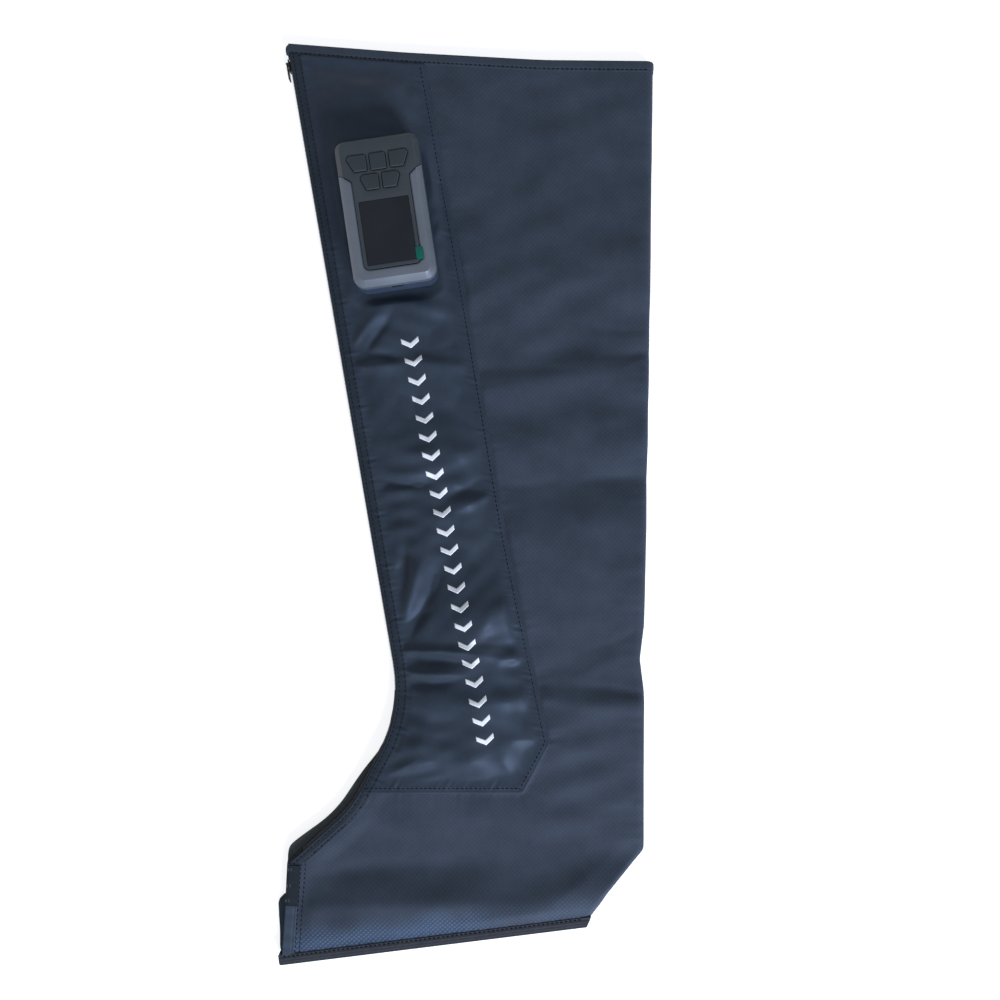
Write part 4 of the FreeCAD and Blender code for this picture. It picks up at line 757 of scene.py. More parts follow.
def rounded_end(run, radius, profile):
    """The profile at each station, drawn in towards its open side round an end's corner."""
    drop = radius - np.sqrt(np.maximum(radius ** 2 - np.maximum(radius - run, 0) ** 2, 0))
    inner = profile[:, 0].min()
    width = profile[:, 0].max() - inner
    share = (width - drop[:, None]) / width
    across = inner + (profile[:, 0] - inner)[None] * share
    return np.stack([across, np.broadcast_to(profile[:, 1], across.shape)], -1)


EDGE_STEPS = [0.0, 0.4, 1.0, 1.8, 2.8, 4.0, 6.0]
grid, flat = wrapped(3, columns(EDGE_STEPS, 116, [0.0]), across_mouth, mouth_y, 0.0)
out = unit(grid[-1] - grid[0])
up = unit(np.cross(np.gradient(grid[-1], axis=0), out))
waver = 0.25 * ripple(flat[-1, :, 0], 31, 14)[:, None]
past = np.array([3.4, 2.9, 2.3, 1.6, 0.8])[:, None]
edge = grid[-1] + up * waver
edge = np.concatenate([edge[:1] - [1, 0, 0] * past, edge, edge[-1:] - [1, 0, 0] * past[::-1]])
out, up = np.pad(out, ((5, 5), (0, 0)), "edge"), np.pad(up, ((5, 5), (0, 0)), "edge")
run = edge[:, 0] - edge[0, 0]
thigh_band = band("thigh_band", edge, out, up,
                  rounded_end(run, 6.5, hem_profile(MOUTH_HEM, 0.45)))

# Plain close weave of the folded hems, without the ripstop's diamonds: a shade greyer.
hem_weave = woven("hem_weave", "#2a3037", "#4b535e", 0.8, 0.05, 0.62, 0.8, 0.1)
thigh_band.data.materials.append(hem_weave)
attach(thigh_band, "sleeve")
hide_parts("thigh_hem")

TOE_FACING = 10.8
TOE_TOP = np.array([-163.5, -330.0])
TOE_FOOT = np.array([-169.3, -414.2])
TOE_OUT = np.array([[-0.99763, 0.06888, 0.0]])
TOE_RUN = 84.4           # length of the toe's line
# The far layer has slipped out past the near one, from a little below the tape to the sole.
FAR_REACH = [(-418.5, 1.0), (-416.0, 2.6), (-414.0, 4.0), (-410.0, 4.8), (-405.0, 5.0), (-393.0, 6.1),
             (-382.0, 7.6), (-371.0, 8.9), (-367.0, 7.9), (-363.0, 4.6), (-358.0, -2.0), (-330.0, -2.0)]
stops = np.linspace(0, 1, 60)[:, None]
toe_line = TOE_TOP * (1 - stops) + TOE_FOOT * stops
hem = hem_profile(TOE_FACING, 0.3)[::-1]
waver = 0.2 * ripple(stops * 88, 32, 15)
toe_near = band("toe_band_near", raised(toe_line, SLEEVE_TOP + 0.4 + waver), TOE_OUT, UP, hem)
far_line = TOE_TOP + (TOE_FOOT - TOE_TOP) * 1.045 * stops
reach = np.interp(far_line[:, 1], *np.array(FAR_REACH).T)[:, None]
line = raised(far_line, waver) + reach * TOE_OUT
toe_far = band("toe_band_far", line[::-1], TOE_OUT, -UP, hem)

# Smooth facing of the toe hems, a lighter slate than the leg.
hem_facing = woven("hem_facing", "#2f3740", "#505b69", 0.8, 0.04, 0.6, 0.8, 0.1)
for piece in (toe_near, toe_far):
    piece.data.materials.append(hem_facing)
    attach(piece, "sleeve")
    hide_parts(piece.name.replace("band", "hem"))

WEBBING = 1.2
WEBBING_LIFT = 0.3       # how far the near face stands over the hems that end under it
SOLE_STITCH = 1.5
EDGE_ROUND = 1.3
SOLE_TIPS = ([-171.3, -424.4], [110.6, -389.4])  # how far the strip's ends stand past the seam
half = SLEEVE_TOP / 2
turn = np.linspace(math.pi / 2, -math.pi / 2, 11)[1:-1]
edge = np.linspace(-SOLE_BAND, -EDGE_ROUND, 26)
bow = half + 0.45 - 0.25 * (edge / SOLE_BAND + 0.5) ** 2
drawn = 0.3 * np.exp(-((edge + SOLE_BAND - SOLE_STITCH) / 0.8) ** 2)
nose = np.stack([-EDGE_ROUND + EDGE_ROUND * np.cos(turn),
                 WEBBING_LIFT / 2 + (bow[-1] + WEBBING_LIFT / 2) * np.sin(turn)], 1)
outer = np.concatenate([np.stack([edge, bow + WEBBING_LIFT - drawn], 1), nose,
                        np.stack([edge[::-1], -bow[::-1]], 1)])
inner = outer * [1, 1 - WEBBING / half] - [WEBBING / 2, 0]
inner[[0, -1], 0] = -SOLE_BAND
profile = np.concatenate([outer, inner[::-1]])
sole_path = even(np.concatenate([[SOLE_TIPS[0]], sole_line, [SOLE_TIPS[1]]]), 1.5)
run = lengths(sole_path)
near_end = np.array([0.0, 0.3, 0.6, 1.0, 1.5, 2.1, 2.8, 3.6])
stops = np.concatenate([near_end, np.arange(4.5, run[-1] - 4.4, 1.5), run[-1] - near_end[::-1]])
sole_path = np.stack([np.interp(stops, run, sole_path[:, k]) for k in (0, 1)], 1)
along = unit(np.gradient(sole_path, axis=0))
run = lengths(sole_path)
heel_share = smooth((run - run[-1] + 14) / 14)[:, None]
out = square_to(sole_path) - raised(along, 0.0) * heel_share * 0.55
ends = np.minimum(run + 0.4, (run[-1] - run) * 2 + 1.0)
# The strip's ends are folded shut: its inside narrows to nothing over the last few millimetres.
shaped = rounded_end(ends, 2.6, profile)
hollow = 0.005 + 0.995 * smooth(np.minimum(run, run[-1] - run) / 2.6)
shaped[:, len(outer):, 1] *= hollow[:, None]
sole_tape = band("sole_tape", raised(sole_path, half), out, UP, shaped)

# Ribbed polyester webbing: nearly black, ribs across the strip every millimetre.
ribbed_webbing, tree = surface("ribbed_webbing")
place = add(tree, "ShaderNodeUVMap", uv_map="cloth").outputs[0]
ribs = threads(tree, place, 1.1, 0)
knots = threads(tree, place, 2.2, 90)
wear_and_edge_highlight = add(tree, "ShaderNodeTexNoise", {"Vector": place, "Scale": 0.15, "Detail": 3.0})
rise = add(tree, "ShaderNodeMath", {0: ribs.outputs["Fac"], 1: knots.outputs["Fac"]},
           operation="MULTIPLY")
mixed = add(tree, "ShaderNodeMath", {0: rise.outputs[0], 1: 0.5, 2: wear_and_edge_highlight.outputs["Fac"]},
            operation="MULTIPLY_ADD")
tone = add(tree, "ShaderNodeMix", {0: mixed.outputs[0], 6: colour("#191c21"), 7: colour("#3c4049")},
           data_type="RGBA", clamp_factor=True)
bump = add(tree, "ShaderNodeBump", {"Height": rise.outputs[0], "Strength": 0.8,
                                    "Distance": 0.0003})
strip = add(tree, "ShaderNodeBsdfPrincipled", {
    "Base Color": tone.outputs[2], "Roughness": 0.7, "Normal": bump.outputs[0],
    "Specular IOR Level": 0.25})
add(tree, "ShaderNodeOutputMaterial", {"Surface": strip.outputs[0]})
sole_tape.data.materials.append(ribbed_webbing)
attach(sole_tape, "sleeve")
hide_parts("sole_binding")


# ---------------------------------------------------------------- sleeve: zipper
# Black nylon coil zipper: a woven tape sewn under each front edge and turned in to the coil, teeth
# of bent monofilament, two end stops, and a die-cast slider with its pull hanging off a pin.
TAPE = 0.6
TAPE_IN = 10.0           # how far the tape reaches in under the front edge
TAPE_OUT = 0.9
TAPE_BEND = (0.8, 0.2)   # radius of its bend down to the coil, outside and inside
COIL_OUT = 2.3
COIL_DEEP = 2.6
COIL_TOP = 7.4
COIL_LOW = 5.9
TOOTH_PITCH = 1.3
ZIP_TOP_Y = 414.0
ZIP_END_X = -149.6
zip_path = even(rounded(FRONT_CORNERS[:-1], 1.0), 2.4)
before_end = (zip_path[:, 1] > -200) | (zip_path[:, 0] > ZIP_END_X)
zip_path = zip_path[(zip_path[:, 1] < ZIP_TOP_Y) & before_end]
zip_out = square_to(zip_path)
bend = np.linspace(0, math.pi / 2, 6)
high = SLEEVE_TOP / 2 - CLOTH
tip = COIL_TOP - SLEEVE_TOP / 2
outside, inside = TAPE_BEND
face = np.stack([TAPE_OUT - outside + outside * np.sin(bend), high - outside + outside * np.cos(bend)], 1)
back = np.stack([TAPE_OUT - outside + inside * np.cos(bend), high - outside + inside * np.sin(bend)], 1)
tape_profile = np.concatenate([[[-TAPE_IN, high]], face, [[TAPE_OUT, tip], [TAPE_OUT - TAPE, tip]], back,
                               [[-TAPE_IN, high - TAPE]]])

# Close-woven tape: matt black with a fine twill.
tape_weave, tree = surface("tape_weave")
place = add(tree, "ShaderNodeUVMap", uv_map="cloth").outputs[0]
twill = threads(tree, place, 0.8, 45)
dust = add(tree, "ShaderNodeTexNoise", {"Vector": place, "Scale": 0.3, "Detail": 3.0})
mixed = add(tree, "ShaderNodeMath", {0: twill.outputs["Fac"], 1: 0.4, 2: dust.outputs["Fac"]},
            operation="MULTIPLY_ADD")
tone = add(tree, "ShaderNodeMix", {0: mixed.outputs[0], 6: colour("#1b1f22"), 7: colour("#3a3f43")},
           data_type="RGBA", clamp_factor=True)
bump = add(tree, "ShaderNodeBump", {"Height": twill.outputs["Fac"], "Strength": 0.6,
                                    "Distance": 0.00015})
strip = add(tree, "ShaderNodeBsdfPrincipled", {"Base Color": tone.outputs[2], "Roughness": 0.8,
                                               "Normal": bump.outputs[0]})
add(tree, "ShaderNodeOutputMaterial", {"Surface": strip.outputs[0]})

for name, flip in (("near", 1), ("far", -1)):
    piece = band("zip_tape_" + name, raised(zip_path, SLEEVE_TOP / 2), zip_out, UP * flip,
                 tape_profile[::flip])
    piece.data.materials.append(tape_weave)
    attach(piece, "sleeve")
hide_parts("zipper_tapes")


def modelled(obj, tree, values, material):
    """Run a Geometry Nodes tree on a piece with its named inputs set, and keep the mesh."""
    run = obj.modifiers.new("build", "NODES")
    run.node_group = tree
    for item in tree.interface.items_tree:
        if item.item_type == "SOCKET" and item.in_out == "INPUT" and item.name in values:
            run[item.identifier] = values[item.name]
    apply_modifiers(obj)
    obj.data.materials.clear()
    obj.data.materials.append(material)
    obj.data.polygons.foreach_set("material_index", np.zeros(len(obj.data.polygons), np.int32))


def nodes_tree(name, inputs):
    """An empty geometry tree with named inputs, its first and last node."""
    tree = bpy.data.node_groups.new(name, "GeometryNodeTree")
    tree.interface.new_socket("Geometry", in_out="INPUT", socket_type="NodeSocketGeometry")
    for label, kind, value in inputs:
        socket = tree.interface.new_socket(label, in_out="INPUT", socket_type=kind)
        if value is not None:
            socket.default_value = value
    tree.interface.new_socket("Geometry", in_out="OUTPUT", socket_type="NodeSocketGeometry")
    return tree, add(tree, "NodeGroupInput"), add(tree, "NodeGroupOutput")


def along_line(name):
    """Tree that sets small low capsules an even pitch apart along the piece's edges: each one as
    long, wide and high as its inputs say, turned to the line and jittered by a seeded share."""
    tree, first, last = nodes_tree(name, [
        ("Pitch", "NodeSocketFloat", 0.004), ("Long", "NodeSocketFloat", 0.003),
        ("Wide", "NodeSocketFloat", 0.0005), ("High", "NodeSocketFloat", 0.0004),
        ("Jitter", "NodeSocketFloat", 0.1), ("Seed", "NodeSocketInt", 1),
        ("Material", "NodeSocketMaterial", None)])
    line = add(tree, "GeometryNodeMeshToCurve", {"Mesh": first.outputs["Geometry"]})
    level_line = add(tree, "GeometryNodeSetCurveNormal", {"Curve": line.outputs["Curve"]}, mode="Z_UP")
    spots = add(tree, "GeometryNodeCurveToPoints", {"Curve": level_line.outputs["Curve"],
                                                    "Length": first.outputs["Pitch"]}, mode="LENGTH")
    ball = add(tree, "GeometryNodeMeshUVSphere", {"Segments": 6, "Rings": 4, "Radius": 0.5})
    chance = add(tree, "FunctionNodeRandomValue", {"Seed": first.outputs["Seed"], 2: -1.0, 3: 1.0},
                 data_type="FLOAT")
    stray = add(tree, "ShaderNodeMath", {0: chance.outputs[1], 1: first.outputs["Jitter"], 2: 1.0},
                operation="MULTIPLY_ADD")
    long = add(tree, "ShaderNodeMath", {0: stray.outputs[0], 1: first.outputs["Long"]},
               operation="MULTIPLY")
    size = add(tree, "ShaderNodeCombineXYZ", {"X": first.outputs["Wide"], "Y": first.outputs["High"],
                                              "Z": long.outputs[0]})
    swung = add(tree, "FunctionNodeRotateRotation", {"Rotation": spots.outputs["Rotation"]})
    twist = add(tree, "ShaderNodeMath", {0: chance.outputs[1], 1: first.outputs["Jitter"]},
                operation="MULTIPLY")
    lean = add(tree, "ShaderNodeCombineXYZ", {"X": twist.outputs[0]})
    tree.links.new(lean.outputs[0], swung.inputs["Rotate By"])
    swung.rotation_space = "LOCAL"
    placed = add(tree, "GeometryNodeInstanceOnPoints", {
        "Points": spots.outputs["Points"], "Instance": ball.outputs["Mesh"],
        "Rotation": swung.outputs[0], "Scale": size.outputs[0]})
    real = add(tree, "GeometryNodeRealizeInstances", {"Geometry": placed.outputs[0]})
    soft_faces = add(tree, "GeometryNodeSetShadeSmooth", {"Geometry": real.outputs[0]})
    painted = add(tree, "GeometryNodeSetMaterial", {"Geometry": soft_faces.outputs[0],
                                                    "Material": first.outputs["Material"]})
    tree.links.new(painted.outputs[0], last.inputs["Geometry"])
    return tree


capsule_row = along_line("capsules_along_a_line")


def capsules(name, lines, values, material, body="sleeve"):
    """One piece of capsules along open lines of points in millimetres."""
    mesh = bpy.data.meshes.new(name)
    points = np.concatenate(lines)
    edges, start = [], 0
    for line in lines:
        edges += [(start + i, start + i + 1) for i in range(len(line) - 1)]
        start += len(line)
    mesh.from_pydata((points * MM).tolist(), edges, [])
    obj = link_object(name, mesh)
    metres = {key: values[key] * MM for key in ("Pitch", "Long", "Wide", "High")}
    modelled(obj, capsule_row, {**values, **metres, "Material": material}, material)
    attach(obj, body)
    return obj


# Bent monofilament: black, a little shiny where the light runs along each tooth.
coil_nylon = speckled("coil_nylon", "#0c0e10", "#24282a", 400.0, 2.0, 0.38)
chain_path = zip_path[1:]
chain_out = zip_out[1:, :2]
coil_z = (COIL_TOP + COIL_LOW) / 2
for name, z, shift in (("near", coil_z, 0.0), ("far", SLEEVE_TOP - coil_z, TOOTH_PITCH / 2)):
    line = chain_path + chain_out * (COIL_OUT - COIL_DEEP / 2)
    line = line + unit(line[1] - line[0]) * shift
    sizes = {"Pitch": TOOTH_PITCH, "Long": 1.22, "Wide": COIL_DEEP, "High": 1.5, "Jitter": 0.0,
             "Seed": 1}
    teeth = capsules("coil_teeth_" + name, [raised(line, z)], sizes, coil_nylon)
    if name == "near":
        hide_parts("zipper_coils")


node_body = {node: body for body, group in frame["record"]["behaviour"]["bodies"].items()
             for node in group}
node_slot = {row["node"]: row["material_slot"] for row in frame["record"]["subparts"]}


def soften(node, width, segments=2):
    """A copy of a CAD part with its sharp edges rounded, which stands for the part."""
    obj = link_object(node + "_moulded", frame["nodes"][node].data.copy())
    obj.data.materials.clear()
    weld = obj.modifiers.new("weld", "WELD")
    weld.merge_threshold = 0.00002
    plain = obj.modifiers.new("plain", "DECIMATE")
    plain.decimate_type = "DISSOLVE"
    plain.angle_limit = math.radians(1.0)
    round_off = obj.modifiers.new("round", "BEVEL")
    round_off.width = width * MM
    round_off.segments = segments
    round_off.limit_method = "ANGLE"
    round_off.angle_limit = math.radians(32)
    round_off.use_clamp_overlap = True
    apply_modifiers(obj)
    obj.data.shade_smooth()
    obj.data.set_sharp_from_angle(angle=math.radians(38))
    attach(obj, node_body[node])
    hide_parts(node)
    return obj


# Die-cast zinc, painted black and rubbed bright in small scattered spots.
painted_zinc, tree = surface("painted_zinc")
spot = add(tree, "ShaderNodeTexCoord").outputs["Object"]
rub = add(tree, "ShaderNodeTexNoise", {"Vector": spot, "Scale": 900.0, "Detail": 4.0})
bare = add(tree, "ShaderNodeValToRGB", {"Fac": rub.outputs["Fac"]})
bare.color_ramp.elements[0].position = 0.62
bare.color_ramp.elements[1].position = 0.74
tone = add(tree, "ShaderNodeMix", {0: bare.outputs["Color"], 6: colour("#17191c"),
                                   7: colour("#5a5e63")}, data_type="RGBA")
zinc = add(tree, "ShaderNodeBsdfPrincipled", {"Base Color": tone.outputs[2], "Roughness": 0.42,
                                              "Metallic": 0.55})
add(tree, "ShaderNodeOutputMaterial", {"Surface": zinc.outputs[0]})
for node, width in (("zipper_stops", 0.3), ("zipper_slider", 0.25), ("pull_tab", 0.4)):
    soften(node, width, segments=3).data.materials.append(painted_zinc)


# ---------------------------------------------------------------- sleeve: instep placket and toe tape
# A padded black strip behind the zipper's lower end, which keeps the teeth off the foot, and a
# short tape folded over the near toe hem where the zipper ends, held by three bar tacks.
PLACKET_OUTER = [(-66.2, -172.0), (-66.9, -186.0), (-68.3, -202.0), (-72.7, -216.2), (-83.7, -230.9),
                 (-95.7, -245.6), (-105.8, -260.4), (-115.5, -275.1), (-129.5, -289.8),
                 (-150.0, -304.5), (-159.2, -311.4), (-163.4, -315.6), (-165.2, -321.5),
                 (-165.3, -334.0), (-166.3, -352.0), (-167.0, -365.0)]
CHAIN_SLIT = 0.3         # half thickness of the fin that lies between the two rows of teeth
PLACKET_HALF = 0.8
edge_path = rounded(FRONT_CORNERS[:4] + [(-165.6, -364.0, 0)], 1.0)
inner_line = even(edge_path[edge_path[:, 1] < PLACKET_OUTER[0][1]], 2.0)
outer_line = np.array(PLACKET_OUTER)
for _ in range(2):
    mid = (outer_line[:-1] + outer_line[1:]) / 2
    cut = np.stack([(outer_line[:-1] + mid) / 2, (mid + outer_line[1:]) / 2], 1).reshape(-1, 2)
    outer_line = np.concatenate([outer_line[:1], cut, outer_line[-1:]])
stops = np.linspace(0, 1, len(inner_line))
far_along = lengths(outer_line) / lengths(outer_line)[-1]
outer_line = np.stack([np.interp(stops, far_along, outer_line[:, k]) for k in (0, 1)], 1)
reach = np.linalg.norm(outer_line - inner_line, axis=1)
out = raised((outer_line - inner_line) / reach[:, None], 0.0)
turn = np.linspace(math.pi / 2, -math.pi / 2, 7)
profiles = []
for r in reach:
    r = max(r, 2.4)
    thick = PLACKET_HALF * min(1.0, r / 5)
    step = min(COIL_OUT + 0.1, r - 1.2)
    seam = [(-1.5, -CHAIN_SLIT), (-1.5, CHAIN_SLIT), (step, CHAIN_SLIT), (step + 0.2, thick),
            (r - 0.45 * (r - step), thick), (r - 0.3 * (r - step), thick - 0.2)]
    nose = np.stack([r - thick + thick * np.cos(turn), thick * np.sin(turn)], 1)
    profiles.append(np.concatenate([seam, nose, [(step + 0.2, -thick), (step, -CHAIN_SLIT)]]))
placket = band("placket_strip", raised(inner_line, SLEEVE_TOP / 2), out, UP, np.array(profiles))
placket.data.materials.append(tape_weave)
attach(placket, "sleeve")
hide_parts("instep_placket")

TOE_TAPE = (11.2, 37.0)  # its width and length
TAPE_FACE = 1.05         # height of its face over the sleeve's
TACK_PLACES = (0.1, 0.5, 0.87)
stops = np.linspace(0, 1, 24)[:, None]
start = TOE_TOP + np.array([0.2, -1.0])
ended = start + (TOE_FOOT - TOE_TOP) * TOE_TAPE[1] / TOE_RUN
line = start * (1 - stops) + ended * stops
line = raised(line, SLEEVE_TOP + TAPE_FACE + 0.12 * ripple(stops * TOE_TAPE[1], 42, 9))
tape_fold = np.array([[-TOE_TAPE[0], -0.4], [-TOE_TAPE[0], 0.35], [-6.0, 0.42], [-3.0, 0.42],
                      [-0.4, 0.3], [0.35, -0.2], [0.45, -1.2], [0.3, -2.4], [-1.0, -2.5],
                      [-1.0, -0.2]])
toe_tape = band("toe_tape", line, TOE_OUT, UP, tape_fold)

# Brown-black woven tape, dull.
brown_tape = woven("brown_tape", "#1e2226", "#393d42", 0.9, 0.1, 0.8, 0.6)
toe_tape.data.materials.append(brown_tape)
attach(toe_tape, "sleeve")


# ---------------------------------------------------------------- sleeve: stitching
# Lockstitch in black polyester thread: twin rows down the front and toe, single rows round the
# cover panel, the thigh hem and the sole binding, and three pale bar tacks on the toe tape.

# Twisted thread: near black with a soft sheen.
sewing_thread = speckled("sewing_thread", "#080a0d", "#1b2028", 1500.0, 2.0, 0.8, 0.08)
STITCH_OVER = 0.08       # how far a stitch's middle stands over the cloth
HEM_FACE = 0.25          # height of the thigh hem's face over the sleeve's, and of the binding's
SOLE_FACE = 0.68
FRONT_ROW_TOP = 412.0    # where the rows down the front and round the panel end
SEAM_ROW_TOP = 403.0
SEAM_ROW_LEFT = -92.0


def beside(line, gap):
    """A line moved to its left by a gap."""
    return line - square_to(line)[:, :2] * gap


def on_face(line, height):
    """The line's points lifted on to a surface."""
    line = even(line, 1.5)
    return raised(line, height(line[:, 0], line[:, 1]) + STITCH_OVER)


front_run = rounded(FRONT_CORNERS[:4], 1.5)
front_run = front_run[front_run[:, 1] < FRONT_ROW_TOP]
panel_front = front_run[front_run[:, 1] > PANEL_BOTTOM + 1]
foot_front = front_run[front_run[:, 1] < PANEL_BOTTOM - 1]
seam_run = rounded(PANEL_SEAM, 1.5)
seam_run = seam_run[(seam_run[:, 1] < SEAM_ROW_TOP) & (seam_run[:, 0] > SEAM_ROW_LEFT)]
rows = []
for gap in STITCH_ROWS:
    rows.append(on_face(beside(panel_front, gap), panel_top))
    rows.append(on_face(beside(foot_front, gap), leg_top))
rows.append(on_face(beside(seam_run, -SEAM_STITCH), panel_top))
x = np.linspace(-160, 165, 220)
hem_line = np.stack([x, across_mouth(x) + HEM_STITCH], 1)
rows.append(on_face(hem_line, lambda x, y: SLEEVE_TOP + HEM_FACE))
for gap in (TOE_FACING + 0.9, TOE_FACING + 5.0):
    rows.append(on_face(toe_line - TOE_OUT[:, :2] * gap, leg_top))
sole_row = beside(even(sole_line, 2.0), SOLE_BAND - SOLE_STITCH)[2:-2]
rows.append(on_face(sole_row, lambda x, y: SLEEVE_TOP + SOLE_FACE))
sizes = {"Pitch": STITCH_PITCH, "Long": 3.1, "Wide": 0.85, "High": 0.5, "Jitter": 0.12, "Seed": 7}
capsules("stitches", rows, sizes, sewing_thread)

# Bar tacks: three short satin-stitched bars, in worn grey-brown thread.
tack_thread = speckled("tack_thread", "#36383b", "#6a6866", 1200.0, 2.0, 0.7)
bars = []
for share in TACK_PLACES:
    at = start * (1 - share) + ended * share
    for step in np.linspace(-1.1, 1.1, 4):
        ends = [at + np.array([0.3, step]), at + np.array([3.0, step + 0.2])]
        bars.append(np.concatenate([np.array(ends), [[SLEEVE_TOP + 1.5], [SLEEVE_TOP + 1.55]]], 1))
sizes = {"Pitch": 1.4, "Long": 1.6, "Wide": 0.6, "High": 0.4, "Jitter": 0.2, "Seed": 3}
capsules("bar_tacks", bars, sizes, tack_thread)


# ---------------------------------------------------------------- sleeve: printed marks
# A row of plain white chevrons down the cover panel, screen printed in thick ink that follows
# every crease under it.
MARK_START = (-50.5, 148.0)
MARK_END = (18.0, -213.0)
MARKS = 22
MARK_HALF = 8.0          # half the width of a chevron
MARK_STROKE = 4.8
MARK_RISE = 5.2          # from its point back to its ends
INK = 0.12
marks = []
line = np.array([MARK_START, MARK_END])
d = unit(line[1] - line[0])
side = np.array([-d[1], d[0]])
a = np.linspace(-1, 1, 17)[:, None]
b = np.linspace(0, 1, 5)[None]
for k in range(MARKS):
    middle = line[0] + (line[1] - line[0]) * k / (MARKS - 1)
    down = MARK_STROKE * (b - 0.5) - MARK_RISE * np.abs(a) + MARK_RISE / 2
    x = middle[0] + side[0] * MARK_HALF * a + d[0] * down
    y = middle[1] + side[1] * MARK_HALF * a + d[1] * down
    marks.append(np.stack([x, y, panel_top(x, y) + INK], -1))
rows = len(marks[0])
grid = np.concatenate(marks)
keep = np.ones(grid.shape[:2], bool)[:-1, :-1]
keep[rows - 1::rows] = False
chevrons = slab("printed_chevrons", grid, grid[:, :, :2], INK, keep)

# Screen ink: white, matt, very slightly mottled and dirty.
screen_ink = speckled("screen_ink", "#f0f2f5", "#ffffff", 120.0, 4.0, 0.6, relief=(0.3, 0.0001))
chevrons.data.materials.append(screen_ink)
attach(chevrons, "sleeve")


# ---------------------------------------------------------------- controller: housings
# Injection-moulded shells: a dark rear half and front cover in fine spark texture, and a satin
# grey trim round the foot end and both sides.
def moulded(name, dark, light, roughness, grain, depth, metallic=0.0, rim=None):
    """Textured plastic: fine grain and a few rubbed patches, with painted light: a painted highlight
    along its edges when a rim colour is given, and painted shade, near black, in crevices and gaps.
    """
    material, tree = surface(name)
    spot = add(tree, "ShaderNodeTexCoord").outputs["Object"]
    spark = add(tree, "ShaderNodeTexNoise", {"Vector": spot, "Scale": grain, "Detail": 2.0})
    cloud = add(tree, "ShaderNodeTexNoise", {"Vector": spot, "Scale": 30.0, "Detail": 3.0})
    mixed = add(tree, "ShaderNodeMath", {0: spark.outputs["Fac"], 1: 0.35, 2: cloud.outputs["Fac"]},
                operation="MULTIPLY_ADD")
    share = add(tree, "ShaderNodeMath", {0: mixed.outputs[0], 1: 0.25}, operation="SUBTRACT")
    tone = add(tree, "ShaderNodeMix", {0: share.outputs[0], 6: colour(dark), 7: colour(light)},
               data_type="RGBA", clamp_factor=True)
    # Painted highlight: edges, found by ambient occlusion looking inwards, turn towards the rim colour.
    if rim:
        thin = add(tree, "ShaderNodeAmbientOcclusion", {"Distance": 0.9 * MM}, samples=8, inside=True,
                   only_local=True)
        wear_and_edge_highlight = add(tree, "ShaderNodeMath", {0: 1.0, 1: thin.outputs["AO"]}, operation="SUBTRACT")
        tone = add(tree, "ShaderNodeMix", {0: wear_and_edge_highlight.outputs[0], 6: tone.outputs[2], 7: colour(rim)},
                   data_type="RGBA")
    # Painted shade: crevices and gaps between parts turn near black, and shine less, by ambient
    # occlusion.
    painted_crevice_shade = add(tree, "ShaderNodeAmbientOcclusion", {"Color": tone.outputs[2], "Distance": 1.8 * MM},
                  samples=8)
    painted_gap_shade = add(tree, "ShaderNodeMath", {0: painted_crevice_shade.outputs["AO"], 1: 2.4}, operation="POWER")
    shine = add(tree, "ShaderNodeMath", {0: painted_gap_shade.outputs[0], 1: 0.28}, operation="MULTIPLY")
    shut = add(tree, "ShaderNodeMix", {0: painted_gap_shade.outputs[0], 6: colour("#050608"),
                                       7: tone.outputs[2]}, data_type="RGBA")
    rub = add(tree, "ShaderNodeMath", {0: cloud.outputs["Fac"], 1: 0.16, 2: roughness - 0.08},
              operation="MULTIPLY_ADD")
    bump = add(tree, "ShaderNodeBump", {"Height": spark.outputs["Fac"], "Strength": 0.5,
                                        "Distance": depth * MM})
    plastic = add(tree, "ShaderNodeBsdfPrincipled", {
        "Base Color": shut.outputs[2], "Roughness": rub.outputs[0], "Normal": bump.outputs[0],
        "Metallic": metallic, "Specular IOR Level": shine.outputs[0]})
    add(tree, "ShaderNodeOutputMaterial", {"Surface": plastic.outputs[0]})
    return material


# Slate-black spark-eroded plastic.
housing_plastic = moulded("housing_plastic", "#293444", "#3a475b", 0.55, 2600.0, 0.05)
cover_plastic = moulded("cover_plastic", "#2d3338", "#3f464b", 0.52, 2600.0, 0.05)
# Satin grey with a trace of metal flake, and a painted highlight, paler grey, along its edges.
trim_plastic = moulded("trim_plastic", "#596069", "#747b85", 0.42, 4200.0, 0.03, 0.25, "#9aa2ab")
# Soft-touch key caps, a shade darker than the cover, with a painted highlight, pale, round their edges.
key_rubber = moulded("key_rubber", "#252b30", "#353c41", 0.6, 3200.0, 0.04, 0.0, "#6c767e")
soften("rear_housing", 1.0, 3).data.materials.append(housing_plastic)
soften("front_housing", 0.6, 3).data.materials.append(cover_plastic)
soften("side_trim", 0.9, 3).data.materials.append(trim_plastic)


# ---------------------------------------------------------------- controller: keys
# Five plain caps of soft-touch plastic, each with a rounded edge, standing a millimetre proud of
# the cover in its own hole, where it is free to be pressed.
for key in ("power", "time", "mode", "minus", "plus"):
    soften("key_" + key, 0.5, 3).data.materials.append(key_rubber)


# ---------------------------------------------------------------- controller: screen
# Smoked acrylic window over a dark display, still under its clear shipping film, whose green tab
# sticks out at one corner.

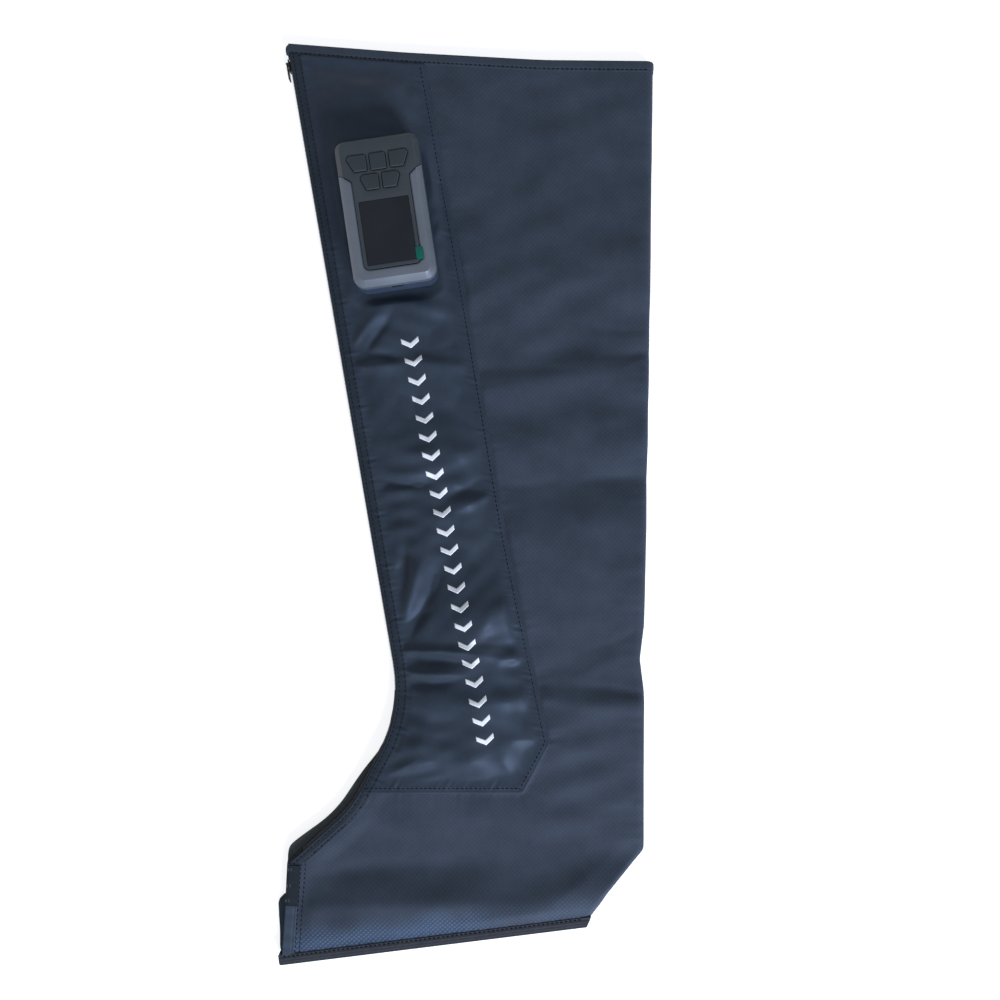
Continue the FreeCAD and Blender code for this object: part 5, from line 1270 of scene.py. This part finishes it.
# Smoked acrylic: black and glossy, with dust and faint wipe marks in its shine.
smoked_acrylic, tree = surface("smoked_acrylic")
spot = add(tree, "ShaderNodeTexCoord").outputs["Object"]
wiped = add(tree, "ShaderNodeVectorRotate", {"Vector": spot, "Angle": 0.6})
smear = add(tree, "ShaderNodeTexNoise", {"Vector": wiped.outputs[0], "Scale": 60.0, "Detail": 4.0})
dull = add(tree, "ShaderNodeMath", {0: smear.outputs["Fac"], 1: 0.14, 2: 0.06},
           operation="MULTIPLY_ADD")
tone = add(tree, "ShaderNodeMix", {0: smear.outputs["Fac"], 6: colour("#161a22"),
                                   7: colour("#20252e")}, data_type="RGBA")
pane = add(tree, "ShaderNodeBsdfPrincipled", {"Base Color": tone.outputs[2],
                                              "Roughness": dull.outputs[0],
                                              "Specular IOR Level": 0.12})
add(tree, "ShaderNodeOutputMaterial", {"Surface": pane.outputs[0]})
soften("display_window", 0.15).data.materials.append(smoked_acrylic)

# Clear film: it takes the black of the pane that it lies on, and its wrinkles blur the shine.
shipping_film = speckled("shipping_film", "#171a20", "#1f242b", 50.0, 1.0, 0.16, 0.14, (0.4, 0.0004))
soften("screen_film", 0.06).data.materials.append(shipping_film)

# Green polyester tab: even, clean colour with a little gloss.
green_polyester = speckled("green_polyester", "#0c5a4c", "#107362", 300.0, 2.0, 0.4, 0.15)
soften("film_tab", 0.06).data.materials.append(green_polyester)


# ---------------------------------------------------------------- parts inside
# Silicone hoses, dock plate, boards, battery and pump: bought-in parts, of which only the nozzles
# show, when the controller lifts. They keep their own shapes and get the finish of their slot.
# For each slot: dark and light tone, roughness, grain, depth of the grain, metallic.
INSIDE = {
    "hose_silicone": ("#9aa0a6", "#c3c8cc", 0.38, 600.0, 0.03, 0.0),
    "fitting_plastic": ("#1b1f24", "#2c3238", 0.45, 2000.0, 0.03, 0.0),
    "frame_plastic": ("#c9cbc8", "#e0e1dd", 0.5, 1500.0, 0.03, 0.0),
    "display_glass": ("#0c0e12", "#161a20", 0.12, 200.0, 0.01, 0.0),
    "circuit_board": ("#0d4a2c", "#156b3e", 0.35, 900.0, 0.05, 0.0),
    "electronic_black": ("#101214", "#1f2225", 0.4, 1200.0, 0.03, 0.0),
    "battery_wrap": ("#1c5fa8", "#2a76c4", 0.3, 500.0, 0.02, 0.0),
    "steel": ("#8f959b", "#b4b9be", 0.3, 3000.0, 0.02, 1.0),
    "pump_plastic": ("#2f3235", "#45494d", 0.5, 1800.0, 0.03, 0.0),
    "black_rubber": ("#0e0f10", "#1c1e1f", 0.75, 1600.0, 0.05, 0.0),
}
finish = {slot: moulded("inside_" + slot, *values) for slot, values in INSIDE.items()}
for node, obj in frame["nodes"].items():
    if node_slot[node] in finish:
        obj.data.materials.clear()
        obj.data.materials.append(finish[node_slot[node]])
